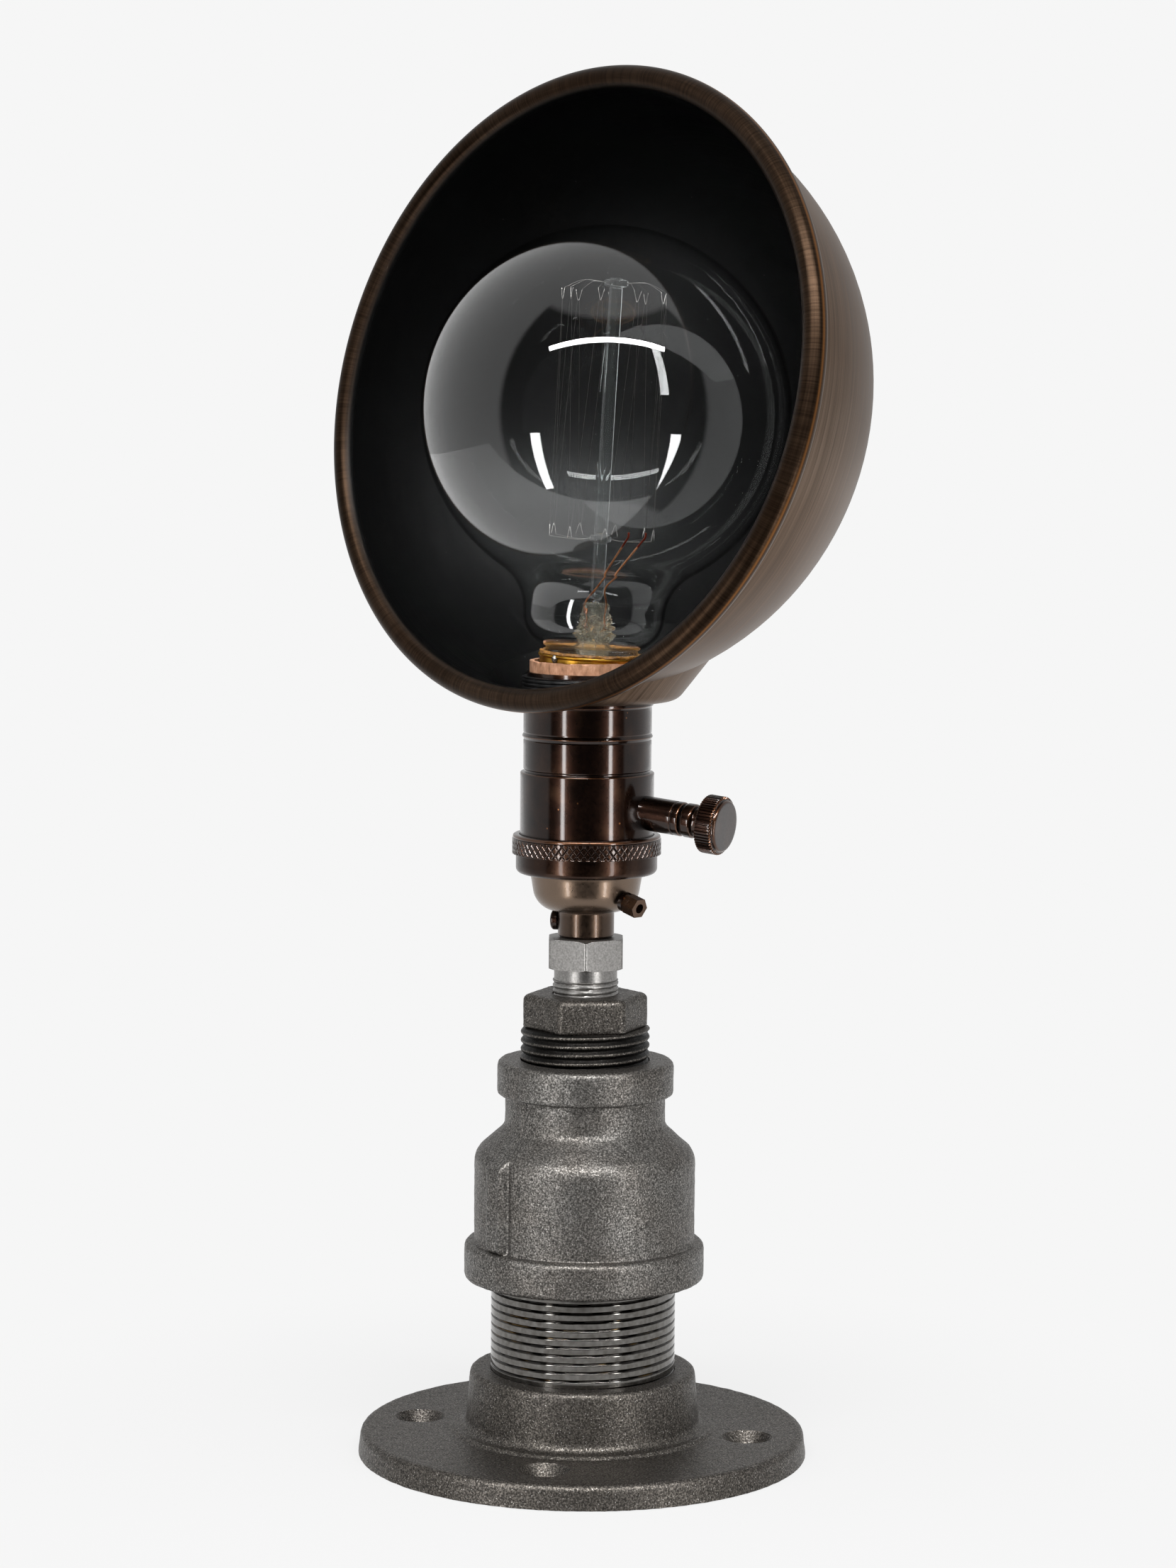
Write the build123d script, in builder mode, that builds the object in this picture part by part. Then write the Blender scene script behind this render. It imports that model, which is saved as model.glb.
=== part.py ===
from build123d import *
import os
from math import atan2, cos, degrees, pi, radians, sin, tan

# Pipe table lamp: threaded pipe fittings carry a turn-knob lamp socket, a dome shade and a globe bulb.
# Millimetres, +Z up, origin at the centre of the flange's underside, the shade opens towards -Y.
# Angles are degrees from +X, counterclockwise seen from above.

os.makedirs("parts", exist_ok=True)

# Clearances
thread_gap = 0.1
sleeve_gap = 0.1
swivel_gap = 0.15
swivel_bore_gap = 0.3
shaft_gap = 0.3
seat_gap = 0.05

# Floor flange, cast iron
flange_radius = 58.4
flange_plate = 6.2
flange_draft = 0.7
flange_edge_round = 1.6
hub_radius = 29.3
hub_draft = 1.2
hub_height = 22.1
hub_foot_round = 2.0
foot_pad_radius = 33.6
foot_pad = 0.9
hub_top_round = 1.4
bolt_count = 4
bolt_circle = 87.6
bolt_angle = 31.0
bolt_hole_radius = 3.3
bolt_sink_radius = 6.6
bolt_sink_angle = 82.0

# Close nipple, 1-1/2 inch pipe
pipe_radius = 24.0
pipe_wall = 3.55
pipe_chamfer = 0.8
nipple_exposed = 24.2
nipple_engaged = 13.0

# Reducing coupling, cast iron
coupling_height = 57.2
coupling_band_radius = 31.0
coupling_band_height = 9.6
coupling_band_round = 1.6
coupling_foot_round = 1.1
coupling_radius = 28.5
coupling_wall = 5.6
coupling_shoulder = 33.0
coupling_shoulder_round = 5.5
coupling_neck = 40.1
coupling_neck_radius = 20.6
coupling_neck_round = 3.0
coupling_top_radius = 22.7
coupling_top_height = 8.9
thread_runout = 3.5
rib_angle = -97.6
rib_width = 6.2
rib_proud = 1.6
rib_root = 1.2

# Hex bushing, 1 inch by 3/8 inch, cast iron
bushing_radius = 16.7
bushing_engaged = 14.0
bushing_exposed = 8.5
bushing_wall = 4.2
bushing_hex = 28.6
bushing_hex_height = 8.8
bushing_hex_angle = -39.6
bushing_hex_round = 1.6
bushing_top_round = 1.0

# Hex adapter, 3/8 inch by lamp thread, plated steel
adapter_radius = 8.5
adapter_engaged = 11.0
adapter_thread_exposed = 2.7
adapter_collar_radius = 8.16
adapter_collar_height = 4.1
adapter_hex = 19.05
adapter_hex_height = 7.9
adapter_corner_angle = -46.6
adapter_chamfer = 0.9

# Lamp thread tube inside the adapter and the cap
lamp_tube_radius = 4.95
lamp_tube_bore = 3.4
lamp_tube_below = 6.0
lamp_tube_above = 1.5

# Socket cap, bronzed sheet brass
cap_neck_radius = 7.27
cap_neck_height = 7.0
cap_neck_chamfer = 0.7
cup_radius = 14.5
cup_foot_radius = 12.9
cup_height = 9.7
cup_round = 6.2
cap_wall = 1.3
skirt_height = 5.0
skirt_round = 1.5
skirt_wall = 0.9
knurl_proud = 0.95
knurl_height = 5.1

# Set screw in the cap's neck
set_screw_angle = -151.6
set_screw_height = 4.1
set_screw_radius = 1.5
set_screw_head_radius = 2.6
set_screw_head = 1.8
set_screw_slot = 0.8
set_screw_round = 0.7

# Earth post on the cup
post_angle = -2.5
post_droop = 14.0
post_height = 4.2
post_hex = 4.7
post_length = 4.3
post_hole_radius = 1.25
post_hole_depth = 3.0
stud_radius = 1.2
stud_collar_radius = 2.6
stud_collar = 1.3

# Socket shell, bronzed sheet brass
shell_radius = 17.25
shell_wall = 0.8
shell_lower_height = 25.0
shell_step = 0.75
shell_height = 43.3
shell_bead_height = 34.2
shell_bead = 0.3
shell_bead_width = 1.6
shell_lip = 0.4
shell_lip_height = 1.0
neck_step = 1.65
neck_wall = 0.5
neck_height = 7.4

# Shade ring
ring_wall = 1.3
ring_foot = 0.8
ring_foot_height = 1.4
ring_height = 5.0

# Fibre liner
liner_wall = 1.2
liner_proud = 2.8

# Switch body and upper insulator
switch_height = 23.3
insulator_height = 3.5
terminal_inset = 3.2
terminal_pocket = 9.0
terminal_height = 4.5
terminal_screw_radius = 1.5
terminal_reach = 1.0
terminal_head_radius = 2.8
terminal_head = 1.8
wire_recess_radius = 6.5
wire_recess_depth = 5.0

# Screw shell and centre contact of the socket
screw_shell_wall = 0.35
screw_shell_inset = 0.5
screw_shell_opening = 8.0
contact_span = 13.0
contact_rise = 2.0
contact_thickness = 0.5
contact_width = 5.0

# Turn knob and its switch
knob_angle = 15.4
knob_droop = 5.5
knob_drop = 6.5
stem_radius = 4.4
stem_bore_gap = 0.4
stem_seat = 11.0
stem_end = 28.1
stem_chamfer = 0.4
shaft_radius = 1.9
shaft_back = 9.6
rotor_radius = 5.2
rotor_back = 5.0
rotor_front = 7.0
rotor_room = 0.8
rotor_lobes = 4
rotor_notch_radius = 1.7
knob_ring_radius = 4.4
knob_ring_length = 3.0
knob_ring_round = 0.8
knob_waist_radius = 3.4
knob_waist_length = 2.8
knob_radius = 7.5
knob_thickness = 4.6
knob_face_radius = 6.65
knob_face = 0.9
knob_face_round = 0.6
knob_teeth = 40
knob_tooth_depth = 0.45
knob_bore_depth = 7.5

# Shade, spun sheet
dome_radius = 78.28
dome_flatness = 3.34
dome_side_inset = 4.9
sheet = 1.0
shade_tilt = 12.04
rim_reach = 8.1
rim_lift = 1.62
lip_radius = 3.1
lip_curl = 35.0
boss_radius = 22.9
boss_flare = 37.8
boss_round = 5.0
boss_rise = 25.0

# Bulb, E26 base and 95 mm globe
bulb_lean = 3.07
bulb_lean_angle = 43.4
bulb_rim_gap = 3.1
base_clear = 0.85
base_wall = 0.4
base_inset = 5.2
base_cone = 2.6
rim_step = 1.2
rim_height = 0.7
rim_flare = 1.0
tip_insulator_radius = 8.2
tip_insulator_foot = 5.6
tip_insulator_height = 2.2
tip_radius = 4.7
tip_height = 1.1
glass_radius = 47.4
glass_wall = 0.7
glass_centre = 61.1
glass_tail = 4.4
glass_neck_flare = 6.2
glass_neck = 9.2
glass_foot_round = 8.85
glass_foot_bend = -40.0
cement_height = 0.7
solder_radius = 1.3
solder_angle = -90.5

# Bulb mount: stem, rod, supports, leads and filament, heights above the base rim
flare_clear = 0.4
flare_wall = 0.9
flare_height = 4.0
flare_neck_radius = 3.4
mount_shift = 1.1
press_width = 7.0
press_thickness = 4.0
press_top = 14.0
rod_radius = 1.75
rod_top = 97.6
bead_height = 2.0
upper_bead = 95.3
upper_bead_radius = 3.15
lower_bead = 29.5
lower_bead_radius = 2.8
cage_turn = -46.0
cage_radius = 13.5
cage_top = 92.6
cage_bottom = 31.5
hook_count = 9
hook_radius = 0.2
hook_gap = 0.25
filament_radius = 0.15
filament_bend = 0.9
filament_turn_width = 2.4
lead_radius = 0.35
lead_knee = 6.0
lead_spread = 13.0

# Heights of the stack
coupling_z = hub_height + nipple_exposed
coupling_top_z = coupling_z + coupling_height
bushing_hex_z = coupling_top_z + bushing_exposed
bushing_top_z = bushing_hex_z + bushing_hex_height
adapter_collar_z = bushing_top_z + adapter_thread_exposed
adapter_hex_z = adapter_collar_z + adapter_collar_height
cap_z = adapter_hex_z + adapter_hex_height
cup_z = cap_z + cap_neck_height
skirt_z = cup_z + cup_height
ledge_z = skirt_z + cap_wall
knurl_z = skirt_z + skirt_height
cap_top_z = knurl_z + knurl_height
seat_z = ledge_z + shell_height
neck_top_z = seat_z + neck_height
liner_top_z = neck_top_z + liner_proud
insulator_z = ledge_z + switch_height
socket_floor_z = insulator_z + insulator_height
screw_shell_height = liner_top_z - socket_floor_z - screw_shell_inset
base_height = screw_shell_height - base_inset
bulb_rim = screw_shell_height / 2 + bulb_rim_gap

# Radii that follow from a neighbour
flange_bore = pipe_radius + thread_gap
pipe_bore = pipe_radius - pipe_wall
bushing_bore = adapter_radius + thread_gap
adapter_bore = lamp_tube_radius + thread_gap
shell_bore = shell_radius - shell_wall
shell_upper_radius = shell_radius - shell_step
shell_upper_bore = shell_bore - shell_step
neck_radius = shell_radius - neck_step
neck_bore = neck_radius - neck_wall
ring_radius = neck_radius + ring_wall
ring_foot_radius = ring_radius + ring_foot
skirt_bore = shell_radius + sleeve_gap
skirt_radius = skirt_bore + skirt_wall
knurl_radius = skirt_radius + knurl_proud
liner_radius = neck_bore - sleeve_gap
liner_bore = liner_radius - liner_wall
body_radius = liner_bore - sleeve_gap
terminal_flat = body_radius - terminal_inset
terminal_screw_length = terminal_flat - wire_recess_radius + terminal_reach
screw_shell_bore = body_radius - screw_shell_wall
base_radius = screw_shell_bore - base_clear
rim_radius = base_radius + rim_step
glass_tail_radius = base_radius - base_wall - sleeve_gap
glass_neck_radius = glass_tail_radius + glass_neck_flare
cement_radius = rim_radius - base_wall
flare_radius = glass_tail_radius - glass_wall - flare_clear
dome_side_radius = dome_radius - dome_side_inset
dome_depth = dome_radius - dome_flatness
rim_rise = dome_radius + rim_lift

# Planes of the pieces that don't stand on the lamp's axis
lean_z = socket_floor_z + screw_shell_height / 2
lean_direction = Vector(
    cos(radians(bulb_lean_angle)) * sin(radians(bulb_lean)),
    sin(radians(bulb_lean_angle)) * sin(radians(bulb_lean)),
    cos(radians(bulb_lean)),
)
lean_side = Vector(
    cos(radians(bulb_lean_angle)) * cos(radians(bulb_lean)),
    sin(radians(bulb_lean_angle)) * cos(radians(bulb_lean)),
    -sin(radians(bulb_lean)),
)
lean_plane = Plane(origin=(0, 0, lean_z), x_dir=lean_side, z_dir=lean_direction)
bulb_plane = lean_plane.offset(bulb_rim)
mount_plane = Plane(
    origin=bulb_plane.origin + lean_side * mount_shift,
    x_dir=lean_side,
    z_dir=lean_direction,
)
shade_plane = Plane(
    origin=(0, -rim_reach, seat_z + rim_rise),
    x_dir=(1, 0, 0),
    z_dir=(0, -cos(radians(shade_tilt)), sin(radians(shade_tilt))),
)


def section_of(plane):
    # Plane through an axis: local x is the radius, local y runs along the axis
    return Plane(origin=plane.origin, x_dir=plane.x_dir, z_dir=-plane.y_dir)


def side_plane(angle, height, droop=0.0):
    # Plane whose z axis leaves the lamp's axis at an angle, level or drooping
    return Plane(
        origin=(0, 0, height),
        x_dir=(-sin(radians(angle)), cos(radians(angle)), 0),
        z_dir=(
            cos(radians(angle)) * cos(radians(droop)),
            sin(radians(angle)) * cos(radians(droop)),
            -sin(radians(droop)),
        ),
    )


knob_plane = side_plane(knob_angle, insulator_z - knob_drop, knob_droop)


def turned(outline, plane=Plane.XY, rounds=(), mode=Mode.ADD):
    # Body of revolution from (radius, height) points, with some corners rounded
    with BuildSketch(section_of(plane)) as profile:
        with BuildLine():
            Polyline(*outline, close=True)
        make_face()
        for corner, radius in rounds:
            fillet(profile.vertices().sort_by_distance((*corner, 0))[0], radius)
    revolve(profile.sketch, axis=Axis(plane.origin, plane.z_dir), mode=mode)


def tube(plane, inner, outer, start, end, mode=Mode.ADD):
    # Straight tube, or a plain rod where the inner radius is 0
    with BuildSketch(plane.offset(start)) as ring:
        Circle(outer)
        if inner > 0:
            Circle(inner, mode=Mode.SUBTRACT)
    extrude(ring.sketch, amount=end - start, mode=mode)


def save(builder, name):
    builder.part.label = name
    export_step(builder.part, f"parts/{name}.step")


# Floor flange with four countersunk holes
with BuildPart() as floor_flange:
    plate_edge = (flange_radius - flange_draft, flange_plate)
    pad_top = flange_plate + foot_pad
    hub_foot = (hub_radius + hub_draft, pad_top)
    hub_top = (hub_radius, hub_height)
    turned(
        [
            (flange_bore, 0),
            (flange_radius, 0),
            plate_edge,
            (foot_pad_radius + foot_pad, flange_plate),
            (foot_pad_radius, pad_top),
            hub_foot,
            hub_top,
            (flange_bore, hub_height),
        ],
        rounds=[(plate_edge, flange_edge_round), (hub_foot, hub_foot_round), (hub_top, hub_top_round)],
    )
    with Locations((0, 0, flange_plate)):
        with PolarLocations(bolt_circle / 2, bolt_count, start_angle=bolt_angle):
            CounterSinkHole(bolt_hole_radius, bolt_sink_radius, counter_sink_angle=bolt_sink_angle)
save(floor_flange, "floor_flange")

# Close nipple between the flange and the coupling
with BuildPart() as pipe_nipple:
    nipple_bottom = hub_height - nipple_engaged
    nipple_top = coupling_z + nipple_engaged
    turned(
        [
            (pipe_bore, nipple_bottom),
            (pipe_radius - pipe_chamfer, nipple_bottom),
            (pipe_radius, nipple_bottom + pipe_chamfer),
            (pipe_radius, nipple_top - pipe_chamfer),
            (pipe_radius - pipe_chamfer, nipple_top),
            (pipe_bore, nipple_top),
        ]
    )
save(pipe_nipple, "pipe_nipple")

# Reducing coupling: two bands, a sloping shoulder and two opposite ribs
with BuildPart() as reducing_coupling:
    band_top_z = coupling_z + coupling_band_height
    shoulder_z = coupling_z + coupling_shoulder
    neck_z = coupling_z + coupling_neck
    top_band_z = coupling_top_z - coupling_top_height
    lower_bore = pipe_radius + thread_gap
    upper_bore = bushing_radius + thread_gap
    lower_thread_z = coupling_z + nipple_engaged + thread_runout
    upper_thread_z = coupling_top_z - bushing_engaged - thread_runout
    chamber_radius = coupling_radius - coupling_wall
    throat_radius = upper_bore - thread_runout / 2
    band_foot = (coupling_band_radius, coupling_z)
    band_edge = (coupling_band_radius, band_top_z)
    shoulder = (coupling_radius, shoulder_z)
    neck_foot = (coupling_neck_radius, neck_z)
    top_band_foot = (coupling_top_radius, top_band_z)
    top_band_edge = (coupling_top_radius, coupling_top_z)
    turned(
        [
            (lower_bore, coupling_z),
            band_foot,
            band_edge,
            (coupling_radius, band_top_z),
            shoulder,
            neck_foot,
            (coupling_neck_radius, top_band_z),
            top_band_foot,
            top_band_edge,
            (upper_bore, coupling_top_z),
            (upper_bore, upper_thread_z),
            (throat_radius, upper_thread_z - thread_runout / 2),
            (throat_radius, neck_z - coupling_wall / 2),
            (chamber_radius, shoulder_z - coupling_wall),
            (chamber_radius, lower_thread_z + thread_runout / 2),
            (lower_bore, lower_thread_z),
        ],
        rounds=[
            (band_foot, coupling_foot_round),
            (band_edge, coupling_band_round),
            (shoulder, coupling_shoulder_round),
            (neck_foot, coupling_neck_round),
            (top_band_foot, coupling_band_round / 2),
            (top_band_edge, coupling_band_round),
        ],
    )
    for side in (0, 180):
        angle = radians(rib_angle + side)
        rib_out = (cos(angle), sin(angle), 0)
        rib_side = (sin(angle), -cos(angle), 0)
        rib_plane = Plane(origin=(0, 0, 0), x_dir=rib_out, z_dir=rib_side)
        with BuildSketch(rib_plane) as rib:
            rib_shoulder = (coupling_radius + rib_proud, shoulder_z + rib_proud / 2)
            rib_neck = (coupling_neck_radius + rib_proud, neck_z + rib_proud / 2)
            with BuildLine():
                Polyline(
                    (coupling_radius - rib_root, band_top_z - rib_root),
                    (coupling_radius + rib_proud, band_top_z - rib_root),
                    rib_shoulder,
                    rib_neck,
                    (coupling_neck_radius + rib_proud, top_band_z + rib_root),
                    (coupling_neck_radius - rib_root, top_band_z + rib_root),
                    (coupling_neck_radius - rib_root, neck_z - rib_root),
                    (coupling_radius - rib_root, shoulder_z - rib_root),
                    close=True,
                )
            make_face()
            fillet(rib.vertices().sort_by_distance((*rib_shoulder, 0))[0], coupling_shoulder_round)
            fillet(rib.vertices().sort_by_distance((*rib_neck, 0))[0], coupling_neck_round)
        extrude(rib.sketch, amount=rib_width / 2, both=True)
save(reducing_coupling, "reducing_coupling")

# Hex bushing, hollow below its hex
with BuildPart() as hex_bushing:
    bushing_z = coupling_top_z - bushing_engaged
    tube(Plane.XY, 0, bushing_radius, bushing_z, bushing_hex_z)
    with BuildSketch(Plane.XY.offset(bushing_hex_z)):
        RegularPolygon(bushing_hex / 2, 6, major_radius=False, rotation=bushing_hex_angle - 30)
    extrude(amount=bushing_hex_height)
    upright_edges = hex_bushing.edges().filter_by(Axis.Z)
    fillet(upright_edges.filter_by_position(Axis.Z, bushing_hex_z, bushing_top_z), bushing_hex_round)
    fillet(hex_bushing.faces().sort_by(Axis.Z)[-1].edges(), bushing_top_round)
    bushing_hollow = bushing_radius - bushing_wall
    adapter_bottom_z = bushing_top_z - adapter_engaged
    turned(
        [
            (0, bushing_z),
            (bushing_hollow, bushing_z),
            (bushing_hollow, adapter_bottom_z - thread_runout),
            (bushing_bore, adapter_bottom_z - thread_runout / 2),
            (bushing_bore, bushing_top_z),
            (0, bushing_top_z),
        ],
        mode=Mode.SUBTRACT,
    )
save(hex_bushing, "hex_bushing")

# Hex adapter: pipe thread, collar and a hex with chamfered ends
with BuildPart() as hex_adapter:
    with BuildSketch(Plane.XY.offset(adapter_hex_z)):
        RegularPolygon(adapter_hex / 2, 6, major_radius=False, rotation=adapter_corner_angle)
    extrude(amount=adapter_hex_height)
    corner_radius = adapter_hex / 2 / cos(radians(30))
    flat_radius = corner_radius - adapter_chamfer
    chamfer_height = adapter_chamfer * tan(radians(30))
    turned(
        [
            (0, adapter_hex_z),
            (flat_radius, adapter_hex_z),
            (corner_radius, adapter_hex_z + chamfer_height),
            (corner_radius, cap_z - chamfer_height),
            (flat_radius, cap_z),
            (0, cap_z),
        ],
        mode=Mode.INTERSECT,
    )
    tube(Plane.XY, 0, adapter_collar_radius, adapter_collar_z, adapter_hex_z)
    tube(Plane.XY, 0, adapter_radius, adapter_bottom_z, adapter_collar_z)
    tube(Plane.XY, 0, adapter_bore, adapter_bottom_z, cap_z, mode=Mode.SUBTRACT)
save(hex_adapter, "hex_adapter")

# Lamp thread tube that joins the adapter and the cap
cup_floor_z = cup_z + cap_wall
with BuildPart() as lamp_tube:
    tube(Plane.XY, lamp_tube_bore, lamp_tube_radius, cap_z - lamp_tube_below, cup_floor_z + lamp_tube_above)
save(lamp_tube, "lamp_tube")

# Socket cap: neck, cup, skirt and the band that is knurled on the outside
set_screw_plane = side_plane(set_screw_angle, cap_z + set_screw_height)
post_root = Vector(
    (cup_foot_radius - cap_wall) * cos(radians(post_angle)),
    (cup_foot_radius - cap_wall) * sin(radians(post_angle)),
    cup_z + post_height,
)
post_slope = side_plane(post_angle, 0, post_droop)
post_plane = Plane(origin=post_root, x_dir=post_slope.x_dir, z_dir=post_slope.z_dir)
with BuildPart() as socket_cap:
    cup_corner = (cup_foot_radius, cup_z)
    cup_inner_corner = (cup_foot_radius - cap_wall, cup_floor_z)
    skirt_corner = (skirt_radius, skirt_z)
    turned(
        [
            (adapter_bore, cap_z),
            (cap_neck_radius - cap_neck_chamfer, cap_z),
            (cap_neck_radius, cap_z + cap_neck_chamfer),
            (cap_neck_radius, cup_z),
            cup_corner,
            (cup_radius, skirt_z),
            skirt_corner,
            (skirt_radius, knurl_z),
            (knurl_radius, knurl_z),
            (knurl_radius, cap_top_z),
            (skirt_bore, cap_top_z),
            (skirt_bore, ledge_z),
            (cup_radius - cap_wall, ledge_z),
            cup_inner_corner,
            (adapter_bore, cup_floor_z),
        ],
        plane=Plane.XY.rotated((0, 0, 90)),
        rounds=[
            (cup_corner, cup_round),
            (cup_inner_corner, cup_round - cap_wall),
            (skirt_corner, skirt_round),
        ],
    )
    tube(set_screw_plane, 0, set_screw_radius + thread_gap, 0, cap_neck_radius * 2, mode=Mode.SUBTRACT)
    tube(post_plane, 0, stud_radius + thread_gap, -cap_wall, cup_radius, mode=Mode.SUBTRACT)
save(socket_cap, "socket_cap")

# Slotted set screw in the neck, its tip on the lamp tube
with BuildPart() as set_screw:
    head_seat = cap_neck_radius + seat_gap
    head_end = head_seat + set_screw_head
    tube(set_screw_plane, 0, set_screw_radius, lamp_tube_radius + seat_gap, head_seat)
    tube(set_screw_plane, 0, set_screw_head_radius, head_seat, head_end)
    head_face = set_screw.faces().sort_by(Axis(set_screw_plane.origin, set_screw_plane.z_dir))[-1]
    fillet(head_face.edges(), set_screw_round)
    with BuildSketch(set_screw_plane.offset(head_end)):
        Rectangle(set_screw_slot, set_screw_head_radius * 2)
    extrude(amount=-set_screw_head / 2, mode=Mode.SUBTRACT)
save(set_screw, "set_screw")

# Earth post: slotted stud through the cup and a hex barrel with a wire hole
with BuildPart() as earth_stud:
    collar_start = cap_wall * 2
    collar_end = collar_start + stud_collar
    tube(post_plane, 0, stud_radius, -cap_wall / 2, collar_start)
    tube(post_plane, 0, stud_collar_radius, collar_start, collar_end)
    with BuildSketch(post_plane.offset(collar_end)):
        Rectangle(set_screw_slot, stud_collar_radius * 2)
    extrude(amount=-stud_collar / 2, mode=Mode.SUBTRACT)
save(earth_stud, "earth_stud")

with BuildPart() as earth_post:
    with BuildSketch(post_plane.offset(collar_end)) as barrel:
        RegularPolygon(post_hex / 2, 6, major_radius=False)
    extrude(barrel.sketch, amount=post_length)
    post_end = collar_end + post_length
    tube(post_plane, 0, post_hole_radius, post_end - post_hole_depth, post_end, mode=Mode.SUBTRACT)
save(earth_post, "earth_post")

# Socket shell: stepped tube with a bead, a lip under the shade and a threaded neck above it
with BuildPart() as socket_shell:
    step_z = ledge_z + shell_lower_height
    bead_z = ledge_z + shell_bead_height
    turned(
        [
            (shell_bore, ledge_z),
            (shell_radius, ledge_z),
            (shell_radius, step_z),
            (shell_upper_radius, step_z + shell_step),
            (shell_upper_radius, bead_z - shell_bead_width / 2),
            (shell_upper_radius + shell_bead, bead_z),
            (shell_upper_radius, bead_z + shell_bead_width / 2),
            (shell_upper_radius, seat_z - shell_lip_height),
            (shell_upper_radius + shell_lip, seat_z - shell_lip_height),
            (shell_upper_radius + shell_lip, seat_z),
            (neck_radius, seat_z),
            (neck_radius, neck_top_z),
            (neck_bore, neck_top_z),
            (neck_bore, seat_z - shell_lip_height),
            (shell_upper_bore, seat_z - shell_lip_height - shell_wall),
            (shell_upper_bore, step_z),
            (shell_bore, step_z - shell_step),
        ]
    )
    tube(knob_plane, 0, stem_radius + sleeve_gap, neck_radius / 2, shell_radius * 2, mode=Mode.SUBTRACT)
save(socket_shell, "socket_shell")

# Shade ring that screws onto the neck and holds the shade down
ring_z = seat_z + sheet + 2 * swivel_gap
with BuildPart() as shade_ring:
    ring_bore = neck_radius + thread_gap
    turned(
        [
            (ring_bore, ring_z),
            (ring_foot_radius, ring_z),
            (ring_foot_radius, ring_z + ring_foot_height),
            (ring_radius, ring_z + ring_foot_height),
            (ring_radius, ring_z + ring_height),
            (ring_bore, ring_z + ring_height),
        ]
    )
save(shade_ring, "shade_ring")

# Fibre liner between the shell and the live parts
with BuildPart() as fibre_liner:
    tube(Plane.XY, liner_bore, liner_radius, ledge_z, liner_top_z)
    tube(knob_plane, 0, stem_radius + sleeve_gap, liner_bore / 2, liner_radius * 2, mode=Mode.SUBTRACT)
save(fibre_liner, "fibre_liner")

# Switch body: moulded block, open on top for the rotor and the shaft, with two terminal flats
rotor_cavity = rotor_radius + rotor_room
with BuildPart() as switch_body:
    tube(Plane.XY, 0, body_radius, ledge_z, insulator_z)
    tube(Plane.XY, 0, wire_recess_radius, ledge_z, ledge_z + wire_recess_depth, mode=Mode.SUBTRACT)
    cuts = [
        (rotor_cavity, -rotor_back - rotor_room, rotor_front + rotor_room),
        (shaft_radius + shaft_gap, -shaft_back, stem_seat),
        (stem_radius + sleeve_gap, stem_seat, body_radius * 2),
    ]
    for radius, start, end in cuts:
        tube(knob_plane, 0, radius, start, end, mode=Mode.SUBTRACT)
        with BuildSketch(knob_plane.offset(start)) as slot:
            Rectangle(radius * 2, switch_height, align=(Align.CENTER, Align.MIN))
        extrude(slot.sketch, amount=end - start, mode=Mode.SUBTRACT)
    for side in (-90, 90):
        flat = side_plane(knob_angle + side, ledge_z).offset(terminal_flat)
        with BuildSketch(flat) as pocket:
            Rectangle(body_radius * 2, terminal_pocket * 2)
        extrude(pocket.sketch, amount=body_radius, mode=Mode.SUBTRACT)
        screw_axis = side_plane(knob_angle + side, ledge_z + terminal_height)
        screw_start = terminal_flat - terminal_screw_length
        screw_clear = terminal_screw_radius + thread_gap
        tube(screw_axis, 0, screw_clear, screw_start, terminal_flat, mode=Mode.SUBTRACT)
save(switch_body, "switch_body")

# Two terminal screws on the flats
with BuildPart() as terminal_screws:
    for side in (-90, 90):
        screw_axis = side_plane(knob_angle + side, ledge_z + terminal_height)
        head_start = terminal_flat + seat_gap
        screw_end = terminal_flat - terminal_screw_length + seat_gap
        tube(screw_axis, 0, terminal_screw_radius, screw_end, head_start)
        tube(screw_axis, 0, terminal_head_radius, head_start, head_start + terminal_head)
save(terminal_screws, "terminal_screws")

# Upper insulator that closes the switch and carries the screw shell
with BuildPart() as socket_insulator:
    tube(Plane.XY, 0, body_radius, insulator_z, socket_floor_z)
    tube(knob_plane, 0, stem_radius + sleeve_gap, stem_seat, body_radius * 2, mode=Mode.SUBTRACT)
save(socket_insulator, "socket_insulator")

# Screw shell with a floor that rests on the insulator
with BuildPart() as screw_shell:
    screw_shell_floor = socket_floor_z + screw_shell_wall
    screw_shell_top = socket_floor_z + screw_shell_height
    turned(
        [
            (screw_shell_opening, socket_floor_z),
            (body_radius, socket_floor_z),
            (body_radius, screw_shell_top),
            (screw_shell_bore, screw_shell_top),
            (screw_shell_bore, screw_shell_floor),
            (screw_shell_opening, screw_shell_floor),
        ]
    )
save(screw_shell, "screw_shell")

# Centre contact: a leaf spring arched over the insulator
with BuildPart() as centre_contact:
    with BuildSketch(Plane.XZ) as leaf:
        half_span = contact_span / 2
        with BuildLine():
            ThreePointArc(
                (-half_span, socket_floor_z),
                (0, socket_floor_z + contact_rise),
                (half_span, socket_floor_z),
            )
            Line((half_span, socket_floor_z), (half_span - contact_thickness, socket_floor_z))
            ThreePointArc(
                (half_span - contact_thickness, socket_floor_z),
                (0, socket_floor_z + contact_rise - contact_thickness),
                (contact_thickness - half_span, socket_floor_z),
            )
            Line((contact_thickness - half_span, socket_floor_z), (-half_span, socket_floor_z))
        make_face()
    extrude(leaf.sketch, amount=contact_width / 2, both=True)
save(centre_contact, "centre_contact")

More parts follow.
